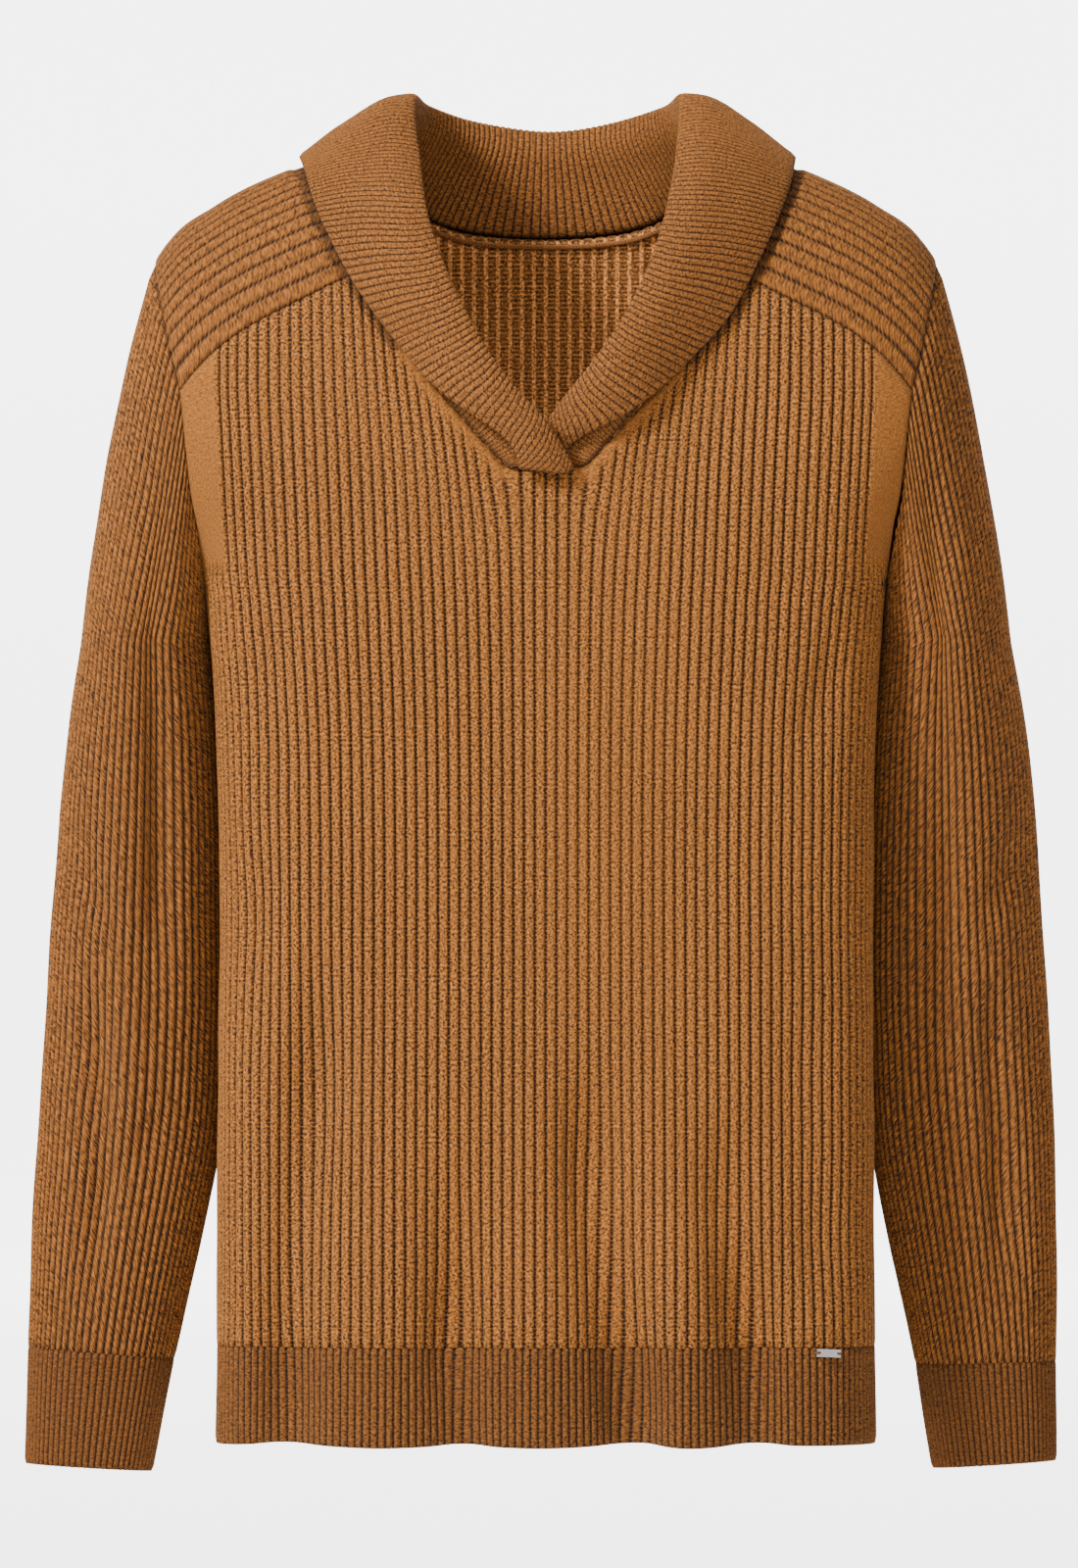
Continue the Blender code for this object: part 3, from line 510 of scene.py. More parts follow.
@dataclass(frozen=True)
class RibShape:
    """Cross-section of the ribs of one kind of knit."""

    depth: float
    groove: float
    crown: float = 0.25
    reverse_depth: float = 0.5 * MM
    reverse_width: float = 0.14
    stops: tuple[float, ...] = (0, 0.07, 0.16, 0.3, 0.5, 0.7, 0.84, 0.93)

    def places(self, first: int, last: int) -> Array:
        """Returns places, counted in ribs, close together at the grooves."""
        ribs = np.arange(first, last)[:, None] + np.array(self.stops)[None, :]
        return np.concatenate([ribs.ravel(), [last]])

    def height(self, phase: Array) -> Array:
        """Relief of the face.

        Args:
            phase: Places, counted in ribs.

        Returns:
            Heights in metres: 0 on a crown, and below zero elsewhere.
        """
        off = np.abs(phase - np.round(phase))
        notch = np.exp(-((off / self.groove) ** 2.2))
        crown = self.crown * (2 * (0.5 - off)) ** 2
        return -self.depth * np.clip(notch + crown * (1 - notch), 0, 1.2)

    def reverse(self, phase: Array) -> Array:
        """Returns the relief of the reverse, where each groove of the face stands up."""
        off = np.abs(phase - np.round(phase))
        return self.reverse_depth * np.exp(-((off / self.reverse_width) ** 2))


@dataclass(frozen=True)
class Knit:
    """One kind of knit: its ribs and the materials of its face and reverse."""

    ribs: RibShape
    face: Finish
    reverse: Finish


@dataclass(frozen=True)
class Crease:
    """Soft trough, or with a depth below zero a ridge, along a line on the front view.

    Its sizes are in millimetres. It wavers across its line and is uneven in depth along it.
    """

    start: tuple[float, float]
    end: tuple[float, float]
    half_width: float
    depth: float
    side: Side = Side.FRONT
    to_edge: bool = False
    waver: float = 0.22
    waver_rate: float = 7.3
    unevenness: float = 0.25
    uneven_rate: float = 11.0
    run_out: float = 0.35
    facing_edges: tuple[float, float] = (-0.1, 0.4)

    def push(self, points: Array, normals: Array) -> Array:
        """How far the crease lowers the cloth.

        Args:
            points: Points of the cloth.
            normals: Its normals there.

        Returns:
            Depths in metres.
        """
        first, last = np.array(self.start) * MM, np.array(self.end) * MM
        line = last - first
        length = np.linalg.norm(line)
        offset = points[..., [0, 2]] - first
        along = offset @ line / length**2
        across = (offset[..., 0] * line[1] - offset[..., 1] * line[0]) / length
        across = across + self.waver * self.half_width * MM * np.sin(along * self.waver_rate + self.start[0])
        ends = smooth_step(along / self.run_out)
        if not self.to_edge:
            ends = ends * smooth_step((1 - along) / self.run_out)
        uneven = 1 + self.unevenness * np.sin(along * self.uneven_rate + self.end[0])
        facing = normals[..., 1] * (-1 if self.side is Side.FRONT else 1)
        low, high = self.facing_edges
        shape = np.exp(-((across / (self.half_width * MM)) ** 2))
        return self.depth * MM * shape * ends * uneven * smooth_step((facing - low) / (high - low))


@dataclass
class Cloth:
    """Grid of a cut piece: its points and, at each, the places counted in ribs and in stitches.

    tucks are how far, in millimetres, it turns in at its first and last row and column. Where they
    are known, relief is the share of the rib relief that is left, from_rim the distance to the last
    row, and pressed how far a collar edge presses it in.
    """

    points: Array
    phase: Array
    course: Array
    closed: bool = False
    tucks: tuple[float, float, float, float] = (0.9, 0.9, 0.9, 0.9)
    relief: Array | None = None
    from_rim: Array | None = None
    pressed: Array | None = None

    def turned(self) -> "Cloth":
        """Returns the same piece with its columns the other way round."""
        first, last, left, right = self.tucks
        names = ("points", "phase", "course", "relief", "from_rim", "pressed")
        grids = {name: getattr(self, name) for name in names}
        flipped = {name: grid[:, ::-1] for name, grid in grids.items() if grid is not None}
        return replace(self, tucks=(first, last, right, left), **flipped)

    def normals(self) -> Array:
        """Returns the unit normals of the smooth grid."""
        if self.closed:
            wrapped = np.concatenate([self.points[:, -2:-1], self.points, self.points[:, 1:2]], axis=1)
            across = (wrapped[:, 2:] - wrapped[:, :-2]) / 2
        else:
            across = np.gradient(self.points, axis=1)
        return unit(np.cross(across, np.gradient(self.points, axis=0)))

    def tuck(self, width: float = 2.4 * MM) -> Array:
        """How far the cloth turns in at its edges.

        Args:
            width: Distance from the edge at which it starts.

        Returns:
            Depths in metres.
        """
        down = np.zeros(self.points.shape[:2])
        runs = []
        for axis in (0, 1):
            along = run_along(self.points, axis)
            runs += [along, np.take(along, [-1], axis) - along]
        for index, (run, depth) in enumerate(zip(runs, self.tucks)):
            if not (self.closed and index >= 2):
                down = np.maximum(down, depth * MM * (1 - smooth_step(run / width)))
        if self.from_rim is not None:
            down = np.maximum(down, self.tucks[1] * MM * (1 - smooth_step(self.from_rim / width)))
        return down if self.pressed is None else np.maximum(down, self.pressed)


@dataclass(frozen=True)
class ShellMaker:
    """Makes closed knitted shells out of cloth grids.

    edges are the lines of the collar's edges, which lie edge_lift off the cloth and press it in.
    """

    edges: tuple[Array, ...] = ()
    edge_lift: float = 4.8 * MM
    press_depth: float = 1.1 * MM
    press_reach: float = 1.5 * MM
    thickness: float = 2.5 * MM
    crown_share: float = 0.4
    inner_tuck: float = 1.4
    ripple_height: float = 0.45 * MM

    def pressed(self, points: Array) -> Array:
        """Returns how far the edges that lie on the cloth press it in at these points."""
        gap = np.min([gap_to(points, line) for line in self.edges], axis=0) - self.edge_lift
        return self.press_depth * np.exp(-((np.maximum(gap, 0) / self.press_reach) ** 2))

    def build(
        self, name: str, cloth: Cloth, knit: Knit, thin: tuple[int, int], creases: tuple[Crease, ...] = ()
    ) -> bpy.types.Object:
        """Builds one shell.

        Args:
            name: Name of the piece.
            cloth: Its grid.
            knit: Its ribs and materials.
            thin: How many rows and columns of the face go to one of the reverse.
            creases: Creases on it.

        Returns:
            The new object.
        """
        normals, ribs = cloth.normals(), knit.ribs
        height = ribs.height(cloth.phase)
        if cloth.relief is not None:
            height = height * cloth.relief
        drop = cloth.tuck() + self.ripple(cloth.points)
        for crease in creases:
            drop = drop + crease.push(cloth.points, normals)
        smooth = cloth.points - normals * drop[..., None]
        face = smooth + normals * (height + ribs.depth * self.crown_share)[..., None]
        under = smooth - normals * (self.thickness + ribs.reverse(cloth.phase))[..., None]
        under = under + normals * cloth.tuck()[..., None] * self.inner_tuck
        mesh = self.stitch(name, face, under[:: thin[0], :: thin[1]], cloth, thin)
        mesh.materials.append(knit.face)
        mesh.materials.append(knit.reverse)
        return add_object(f"{name}_knit", mesh)

    def ripple(self, points: Array) -> Array:
        """A small soft unevenness that runs over the whole garment, made of four long waves.

        Args:
            points: Points of the cloth.

        Returns:
            Depths in metres.
        """
        x, y, z = np.moveaxis(points / MM, -1, 0)
        wave = np.sin(x / 23 + np.sin(z / 61) * 1.7) * np.sin(z / 47 + y / 31 + 0.6)
        wave = wave + 0.6 * np.sin(x / 11 + z / 29 + 2.0) * np.sin(z / 19 - y / 23)
        return self.ripple_height * wave

    @staticmethod
    def stitch(name: str, face: Array, inner: Array, cloth: Cloth, thin: tuple[int, int]) -> bpy.types.Mesh:
        """Joins face, reverse and edges into one closed mesh.

        Args:
            name: Name of the mesh.
            face: Points of the face.
            inner: Points of the reverse.
            cloth: The piece, for its places in ribs and stitches.
            thin: Rows and columns of the face to one of the reverse.

        Returns:
            The mesh, with its places in ribs and stitches as its Knit map, and with the share of
            the relief that is left and the depth of the tucks as its Seam map.
        """
        rows, columns = face.shape[:2]
        inner_rows, inner_columns = inner.shape[:2]
        keep, keep_inner = (columns - 1, inner_columns - 1) if cloth.closed else (columns, inner_columns)
        outer_ids = np.arange(rows * keep).reshape(rows, keep)
        inner_ids = np.arange(inner_rows * keep_inner).reshape(inner_rows, keep_inner) + rows * keep
        if cloth.closed:
            outer_ids = np.concatenate([outer_ids, outer_ids[:, :1]], axis=1)
            inner_ids = np.concatenate([inner_ids, inner_ids[:, :1]], axis=1)
        relief = np.ones(cloth.phase.shape) if cloth.relief is None else cloth.relief
        knit = np.stack([cloth.phase, cloth.course, relief, cloth.tuck() / MM], axis=-1)
        knit_inner = knit[:: thin[0], :: thin[1]]
        points = np.concatenate([face[:, :keep].reshape(-1, 3), inner[:, :keep_inner].reshape(-1, 3)])
        faces: list[list[int]] = []
        places: list[Array] = []

        def quads(ids: Array, spots: Array, order: tuple[int, ...]) -> int:
            """Adds a grid of quads.

            Args:
                ids: Numbers of its points.
                spots: What the maps hold there.
                order: Order of the corners, which sets the side that it faces.

            Returns:
                How many there are.
            """
            corners = [np.s_[:-1, :-1], np.s_[:-1, 1:], np.s_[1:, 1:], np.s_[1:, :-1]]
            made = np.stack([ids[corners[k]] for k in order], axis=-1).reshape(-1, 4)
            faces.extend(made.tolist())
            places.append(np.stack([spots[corners[k]] for k in order], axis=2).reshape(-1, 4))
            return len(made)

        outside = quads(outer_ids, knit, (0, 1, 2, 3))
        inside = quads(inner_ids, knit_inner, (0, 3, 2, 1))
        edges = [
            (outer_ids[0], inner_ids[0], knit[0], knit_inner[0], thin[1], False),
            (outer_ids[-1], inner_ids[-1], knit[-1], knit_inner[-1], thin[1], True),
        ]
        if not cloth.closed:
            edges += [
                (outer_ids[:, 0], inner_ids[:, 0], knit[:, 0], knit_inner[:, 0], thin[0], True),
                (outer_ids[:, -1], inner_ids[:, -1], knit[:, -1], knit_inner[:, -1], thin[0], False),
            ]
        for outer, under, spots, under_spots, step, forwards in edges:
            for k in range(len(under) - 1):
                run = slice(k * step, k * step + step + 1)
                ring = [*outer[run], under[k + 1], under[k]]
                spot = np.concatenate([spots[run], under_spots[[k + 1, k]]])
                faces.append(ring if forwards else ring[::-1])
                places.append(spot if forwards else spot[::-1])
        mesh = bpy.data.meshes.new(name)
        mesh.from_pydata(points.tolist(), [], faces)
        spots = np.concatenate(places).astype(np.float32)
        for layer_name, first in (("Knit", 0), ("Seam", 2)):
            layer = mesh.uv_layers.new(name=layer_name)
            layer.data.foreach_set("uv", spots[:, first : first + 2].ravel())
        slots = np.zeros(len(faces), np.int32)
        slots[outside : outside + inside] = 1
        mesh.polygons.foreach_set("material_index", slots)
        mesh.shade_smooth()
        mesh.update()
        return mesh


# ---------------------------------------------------------------- shader expressions


class Graph:
    """Node tree of one material."""

    def __init__(self, name: str) -> None:
        """Starts a material with an empty node tree.

        Args:
            name: Name of the material.
        """
        self.material = bpy.data.materials.new(name)
        self.material.use_nodes = True
        self.tree = self.material.node_tree
        self.tree.nodes.clear()

    def node(
        self, kind: str, settings: dict[str, Any] | None = None,
        inputs: dict[str, Any] | None = None, output: str = "",
    ) -> "Wire":
        """Adds a node.

        Args:
            kind: The node's type.
            settings: Attributes, set first.
            inputs: Values or wires, by socket identifier or name.
            output: Identifier or name of the socket that is returned, or the first.

        Returns:
            The output wire.
        """
        made = self.tree.nodes.new(kind)
        for key, value in (settings or {}).items():
            setattr(made, key, value)
        for key, value in (inputs or {}).items():
            socket = self.find(made.inputs, key)
            if isinstance(value, Wire):
                self.tree.links.new(value.socket, socket)
            else:
                socket.default_value = value
        if not made.outputs:
            return Wire(self, made.inputs[0])
        return Wire(self, self.find(made.outputs, output) if output else made.outputs[0])

    @staticmethod
    def find(sockets: Any, key: str) -> bpy.types.NodeSocket:
        """Finds a socket that is in use.

        Args:
            sockets: The node's inputs or outputs.
            key: The socket's identifier or name.

        Returns:
            The socket.
        """
        for socket in sockets:
            if key in (socket.identifier, socket.name) and socket.enabled:
                return socket
        raise KeyError(key)

    def mix(self, first: Any, second: Any, share: Any) -> "Wire":
        """Returns two colours mixed by a share."""
        inputs = {"Factor_Float": share, "A_Color": first, "B_Color": second}
        return self.node("ShaderNodeMix", {"data_type": "RGBA"}, inputs, "Result_Color")

    def shade(self, colour: Any, factor: Any) -> "Wire":
        """Returns a colour made lighter or darker by a factor."""
        settings = {"operation": "SCALE"}
        return self.node("ShaderNodeVectorMath", settings, {"Vector": colour, "Scale": factor}, "Vector")

    def noise(self, place: "Wire", scale: float, detail: float = 2.0) -> "Wire":
        """Returns noise about 0.5 at a scale, per metre."""
        inputs = {"Vector": place, "Scale": scale, "Detail": detail}
        return self.node("ShaderNodeTexNoise", {}, inputs, "Fac")


class Wire:
    """Value in a shader that takes part in Python expressions."""

    def __init__(self, graph: Graph, socket: bpy.types.NodeSocket) -> None:
        """Keeps the graph and the socket."""
        self.graph = graph
        self.socket = socket

    def maths(self, operation: str, *values: Any) -> "Wire":
        """Returns a Math node's result on these values."""
        names = ("Value", "Value_001", "Value_002")
        return self.graph.node("ShaderNodeMath", {"operation": operation}, dict(zip(names, values)))

    def __add__(self, other: Any) -> "Wire":
        """Returns the sum."""
        return self.maths("ADD", self, other)

    __radd__ = __add__

    def __mul__(self, other: Any) -> "Wire":
        """Returns the product."""
        return self.maths("MULTIPLY", self, other)

    __rmul__ = __mul__

    def __sub__(self, other: Any) -> "Wire":
        """Returns the difference."""
        return self.maths("SUBTRACT", self, other)

    def __rsub__(self, other: Any) -> "Wire":
        """Returns the difference the other way round."""
        return self.maths("SUBTRACT", other, self)

    def __pow__(self, other: Any) -> "Wire":
        """Returns the power."""
        return self.maths("POWER", self, other)

    def __abs__(self) -> "Wire":
        """Returns the size without its sign."""
        return self.maths("ABSOLUTE", self)

    def at_least(self, low: float) -> "Wire":
        """Returns the value, or low where that is more."""
        return self.maths("MAXIMUM", self, low)

    def fraction(self) -> "Wire":
        """Returns what is left over a whole number."""
        return self.maths("FRACT", self)

    def rise(self, low: float, high: float) -> "Wire":
        """Smooth step.

        Args:
            low: Value at which it leaves 0.
            high: Value at which it reaches 1.

        Returns:
            The step.
        """
        inputs = {"Value": self, "From Min": low, "From Max": high}
        return self.graph.node("ShaderNodeMapRange", {"interpolation_type": "SMOOTHSTEP"}, inputs, "Result")


# ---------------------------------------------------------------- finishes


@dataclass(frozen=True)
class KnitFinish:
    """Wool knit: its yarn colour on the crowns, a painted shade in its grooves and how its stitches stand in
    the ribs.

    Pairs named as edges are where a smooth step starts and ends. Noise scales are per metre.
    """

    name: str
    crown: Colour
    groove: Colour
    wales: int = 2
    groove_width: float = 0.2
    slant: float = 0.9
    reverse: bool = False
    marl: float = 2.6
    rungs: float = 0.45
    lean: float = 0.0
    stitch_depth: float = 0.5 * MM
    groove_end: float = 0.485
    relief_edges: tuple[float, float] = (0.2, 0.9)
    reverse_edges: tuple[float, float] = (0.28, 0.4)
    rung_pitch: float = 0.7
    rung_edges: tuple[float, float] = (0.2, 0.42)
    # The two fields below darken the colour where the cloth turns in at seams and under the collar's edges:
    # painted shade.
    painted_tuck_edges: tuple[float, float] = (0.45, 1.2)
    painted_tuck_shade: float = 0.6
    marl_stretch: tuple[float, float] = (2.3, 1.1)
    fibre_scale: float = 2600.0
    cloud_scale: float = 16.0
    darkest: float = 0.1

    def material(self) -> Finish:
        """Builds the material.

        Returns:
            The material, which reads the mesh's Knit and Seam maps.
        """
        graph = Graph(self.name)
        ribs, courses = self.read(graph, "Knit")
        relief, tuck = self.read(graph, "Seam")
        place = graph.node("ShaderNodeTexCoord", {}, {}, "Object")
        groove = self.grooves(ribs, relief)
        ply = self.ply(ribs, courses)
        rung = abs((courses * self.rung_pitch + ribs * self.lean).fraction() - 0.5).rise(*self.rung_edges)
        stitches = {"X": ribs * (self.wales * self.marl_stretch[0]), "Y": courses * self.marl_stretch[1]}
        marl = graph.noise(graph.node("ShaderNodeCombineXYZ", {}, stitches), 1.0) - 0.5
        fibre = graph.noise(place, self.fibre_scale, 3.0) - 0.5
        cloud = graph.noise(place, self.cloud_scale) - 0.5
        # The grooves are coloured near-black, painted shade of the recesses between the ribs; the rungs let
        # the crown colour cross them.
        yarn_and_groove_shade = graph.mix((*self.crown, 1.0), (*self.groove, 1.0), groove * (1 - rung * self.rungs))
        flecks = marl * self.marl * (relief * 0.6 + 0.4)
        # The ply paints the strand tops lighter and the gaps between strands darker, painted shade of the
        # stitches' relief; marl, fibre flecks and cloud are the yarn's own uneven tone.
        tone_and_strand_shade = (0.72 + ply * 0.4 + fibre * 0.8 + flecks + cloud * 0.24).at_least(self.darkest)
        # Painted shade: darker where the Seam map shows the cloth tucked in at a seam or pressed under a
        # collar edge.
        colour = graph.shade(yarn_and_groove_shade, tone_and_strand_shade * (1 - tuck.rise(*self.painted_tuck_edges) * self.painted_tuck_shade))
        height = ply * 0.8 + fibre * 0.5 + marl * 0.8 - groove * 0.4
        bump = graph.node(
            "ShaderNodeBump", {}, {"Height": height, "Strength": 0.55, "Distance": self.stitch_depth}
        )
        shader = graph.node(
            "ShaderNodeBsdfPrincipled", {},
            {
                "Base Color": colour, "Normal": bump, "Roughness": 0.86, "Specular IOR Level": 0.22,
                "Sheen Weight": 0.12, "Sheen Roughness": 0.45, "Sheen Tint": (0.9, 0.5, 0.2, 1.0),
            },
        )
        graph.node("ShaderNodeOutputMaterial", {}, {"Surface": shader})
        return graph.material

    def grooves(self, ribs: Wire, relief: Wire) -> Wire:
        """Mask of the grooves between ribs, where the painted groove shade goes.

        Args:
            ribs: Places, counted in ribs.
            relief: How much of the rib relief is left.

        Returns:
            1 in a groove, or on the reverse between two of its ribs, and 0 on a crown.
        """
        off_centre = abs(ribs.fraction() - 0.5)
        if self.reverse:
            return 1 - off_centre.rise(*self.reverse_edges)
        return off_centre.rise(0.5 - self.groove_width, self.groove_end) * relief.rise(*self.relief_edges)

    def ply(self, ribs: Wire, courses: Wire) -> Wire:
        """Height of the slanted strands of the stitches.

        Args:
            ribs: Places, counted in ribs.
            courses: Places, counted in stitches.

        Returns:
            Heights from 0 to 1.
        """
        wale = abs((ribs * float(self.wales)).fraction() - 0.5) * 2.0
        strand = abs((courses - wale * self.slant).fraction() - 0.5) * 2.0
        return (1 - strand**1.6) * (1 - wale**3.0 * 0.35)

    @staticmethod
    def read(graph: Graph, layer: str) -> tuple[Wire, Wire]:
        """Reads the two numbers that the mesh carries in a map.

        Args:
            graph: Node tree of the material.
            layer: Name of the map.

        Returns:
            The two values.
        """
        carried = {"Vector": graph.node("ShaderNodeUVMap", {"uv_map": layer})}
        first = graph.node("ShaderNodeSeparateXYZ", {}, carried, "X")
        return first, graph.node("ShaderNodeSeparateXYZ", {}, carried, "Y")


@dataclass(frozen=True)
class PlainFinish:
    """Plain surface with a little grain, such as metal, thread or paper.

    It may glow: by dim of its glow up to the first distance along Y in glow_from, in metres, and
    in full from the second.
    """

    name: str
    colour: Colour
    roughness: float
    metallic: float = 0.0
    grain: float = 0.06
    grain_scale: float = 900.0
    stretch: tuple[float, float, float] = (1.0, 1.0, 1.0)
    grain_depth: float = 0.1 * MM
    glow: float = 0.0
    glow_from: tuple[float, float] = (-1.0, 0.0)
    dim: float = 0.0

    def material(self) -> Finish:
        """Builds the material.

        Returns:
            The material.
        """
        graph = Graph(self.name)
        place = graph.node("ShaderNodeTexCoord", {}, {}, "Object")
        scaled = graph.node("ShaderNodeMapping", {}, {"Vector": place, "Scale": self.stretch})
        grain = graph.noise(scaled, self.grain_scale, 3.0)
        colour = graph.shade(self.colour, 1 - self.grain / 2 + grain * self.grain)
        deep = graph.node("ShaderNodeSeparateXYZ", {}, {"Vector": place}, "Y")
        shining = graph.shade(colour, deep.rise(*self.glow_from) * (1 - self.dim) + self.dim)
        bump = graph.node(
            "ShaderNodeBump", {}, {"Height": grain, "Strength": 0.15, "Distance": self.grain_depth}
        )
        rough = self.roughness + (grain - 0.5) * self.grain
        shader = graph.node(
            "ShaderNodeBsdfPrincipled", {},
            {
                "Base Color": colour, "Normal": bump, "Roughness": rough, "Metallic": self.metallic,
                "Emission Color": shining, "Emission Strength": self.glow,
            },
        )
        graph.node("ShaderNodeOutputMaterial", {}, {"Surface": shader})
        return graph.material


# ---------------------------------------------------------------- pieces


@dataclass
class Piece:
    """Part of the pullover that stands for one node of the frame."""

    form: Form
    maker: ShellMaker
    knit: Knit
    creases: tuple[Crease, ...] = ()

    def settle(
        self, made: bpy.types.Object, flat: tuple[float, float], held: str, hangs_from: tuple[str, ...]
    ) -> None:
        """Ties a shell to the frame and states its cut.

        Args:
            made: The shell, named after its node and its knit.
            flat: Width and length of the cut.
            held: How the cloth is held; not used.
            hangs_from: Nodes or pieces that it hangs from; not used.
        """
        node = made.name.removesuffix("_knit")
        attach(made, "root")
        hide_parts(node)
        LOG.info("%s: %d faces, cut %.3f x %.3f m", made.name, len(made.data.polygons), *flat)


@dataclass
class Panel(Piece):
    """Front or back of the body, between hem seam, side seams, armholes, yokes and neckline."""

    side: Side = Side.FRONT
    half_ribs: int = 40
    rows: int = 136
    last_upright: float = 0.7375
    last_rib: float = 0.8
    lean: float = 0.03
    end_ease: float = 0.8
    armhole_steps: int = 90
    top_rounds: int = 20
    rim_step: int = 5
    beside_step: int = 6
    stitch: float = 1.55 * MM
    thin: tuple[int, int] = (4, 8)
    upper_part: float = 20 * MM
    strip_start: float = 16 * MM
    arm_strip: float = 1.6 * MM
    neck_strip: float = 8.0 * MM
    foot_place: tuple[float, float] = (38 * MM, -330 * MM)
    foot_size: tuple[float, float] = (62 * MM, 260 * MM)
    foot_share: float = 0.3
    fan: float = 1.6
    fan_reach: float = 24 * MM
    fan_span: tuple[float, float] = (4 * MM, 34 * MM)
    flat: tuple[float, float] = (0.46, 0.55)

    def cloth(self) -> Cloth:
        """Grid of the panel.

        Returns:
            The grid, its columns running along the ribs.
        """
        form, side = self.form, self.side
        edge_x, edge_z = form.top_edge(side)
        edge_share = form.share_of(form.turn_at(edge_x / form.torso.read("half_width", edge_z), side), side)
        corner = form.across(edge_x[-1], edge_z[-1], side)
        turns, heights = form.armhole_edge(corner, side, self.armhole_steps)
        open_share = form.share_of(turns, side)
        ends = 1 - (1 - self.last_rib) * np.linspace(0, 1, len(turns)) ** self.end_ease
        width = form.torso.read("half_width", form.underarm)

        def drawn(rib: Array, z: Array) -> Array:
            """Place of a rib, which the armhole draws inwards above the underarm.

            Args:
                rib: The rib, as a share of all ribs.
                z: Heights.

            Returns:
                The share of the cloth at which it stands.
            """
            lean = 1 + self.lean * np.clip((z - form.underarm) / (heights[-1] - form.underarm), 0, 1)
            over = lean * width / form.torso.read("half_width", z)
            start = form.oval(form.turn_of(np.minimum(rib, self.last_upright), side), side)[0]
            upright = form.share_of(form.turn_at(start * over, side), side)
            strip = np.maximum(rib - self.last_upright, 0) / (np.interp(z, heights, ends) - self.last_upright)
            upper = upright + (np.interp(z, heights, open_share) - upright) * np.clip(strip, 0, 1)
            return np.where(z <= form.underarm, rib, upper)

        phase = self.knit.ribs.places(-self.half_ribs, self.half_ribs)
        ratio = np.abs(phase) / self.half_ribs
        top_z = np.interp(ratio, edge_share, edge_z)
        for _ in range(self.top_rounds):
            top_z = np.interp(drawn(ratio, top_z), edge_share, edge_z)
        top_z = np.where(ratio > ends[-1], np.interp(ratio, ends[::-1], heights[::-1]), top_z)
        climb = np.linspace(0, 1, self.rows + 1)[:, None]
        z = form.hem_seam + climb * (top_z - form.hem_seam)
        points = form.at(form.turn_of(drawn(ratio, z), side) * half_of(phase), z, side)
        rims = [points[-1, (ratio >= ends[-1]) & (phase * sign > 0)] for sign in (-1, 1)]
        beside = [rim[:: self.beside_step] for rim in rims]
        relief = self.plain_strips(points, self.away(points, beside), ratio)
        phases = np.broadcast_to(phase, points.shape[:2]).copy()
        if side is Side.FRONT:
            phases -= np.sign(points[..., 0]) * self.fanned(points)
        upper = points[..., 2] > form.underarm - self.upper_part
        pressed = np.zeros(upper.shape)
        pressed[upper] = self.maker.pressed(points[upper])
        made = Cloth(
            points, phases, -points[..., 2] / self.stitch, tucks=(0.3, 0.9, 0.9, 0.9), relief=relief,
            from_rim=self.away(points, [points[-1][:: self.rim_step]]), pressed=pressed,
        )
        return made if side is Side.FRONT else made.turned()

    def away(self, points: Array, lines: list[Array]) -> Array:
        """Measures how far the upper part of the panel is from lines.

        Args:
            points: Points of the grid.
            lines: The lines.

        Returns:
            The distance of each point to the nearest line, and 1 m below the upper part.
        """
        upper = points[..., 2] > self.form.underarm - self.upper_part
        gaps = np.full(upper.shape, 1.0)
        gaps[upper] = np.min([gap_to(points[upper], line) for line in lines], axis=0)
        return gaps

    @staticmethod
    def left_beside(gap: Array, width: float, start: float, share: float) -> Array:
        """How much of the rib relief is left beside an edge.

        Args:
            gap: Distances from the edge.
            width: Width of the plain strip.
            start: Where in the strip the ribs start to rise.
            share: How much of the relief the strip takes away.

        Returns:
            Shares from 0 to 1.
        """
        return 1 - share * (1 - smooth_step((gap / width - start) / 0.5))

    def plain_strips(self, points: Array, from_arm: Array, ratio: Array) -> Array:
        """How much of the rib relief is left beside the armholes, the neckline and under its foot.

        Args:
            points: Points of the grid.
            from_arm: How far each is from the nearest armhole.
            ratio: The ribs of the columns, as shares of all ribs.

        Returns:
            Shares from 0 to 1.
        """
        x, z = points[..., 0], points[..., 2]
        above = smooth_step((z - self.form.underarm) / self.strip_start)
        relief = 1 - smooth_step((ratio - self.last_upright) * self.half_ribs / 0.5 + 0.5) * above
        relief = relief * self.left_beside(from_arm, self.arm_strip, 0.6, 0.9)
        if self.side is Side.FRONT:
            relief = relief * self.left_beside(self.from_neck(points), self.neck_strip, 0.55, 0.8)
            off = ((x - self.foot_place[0]) / self.foot_size[0]) ** 2
            off = off + ((z - self.foot_place[1]) / self.foot_size[1]) ** 2
            relief = relief * (1 - self.foot_share * np.exp(-off))
        return relief

    def from_neck(self, points: Array) -> Array:
        """Measures how far points are from the slanting part of the neckline, on the front view.

        Args:
            points: The points.

        Returns:
            Their distances.
        """
        x, z = np.abs(points[..., 0]), points[..., 2]
        heights = self.form.neckline.values("height") * MM
        line_z = np.linspace(heights[0], heights[-1], 14)
        line_x = self.form.neckline.read("across", line_z)
        return np.min([np.hypot(x - a, z - b) for a, b in zip(line_x, line_z)], axis=0)

    def fanned(self, points: Array) -> Array:
        """Returns how many ribs the pattern moves outwards beside the foot of the V."""
        out = smooth_step((np.abs(points[..., 0]) - self.fan_span[0]) / self.fan_span[1])
        return self.fan * np.exp(-self.from_neck(points) / self.fan_reach) * out

    def make(self) -> None:
        """Builds the panel."""
        name = f"{self.side.value}_panel"
        made = self.maker.build(name, self.cloth(), self.knit, self.thin, self.creases)
        self.settle(made, self.flat, "hung", ("yoke_left", "yoke_right"))


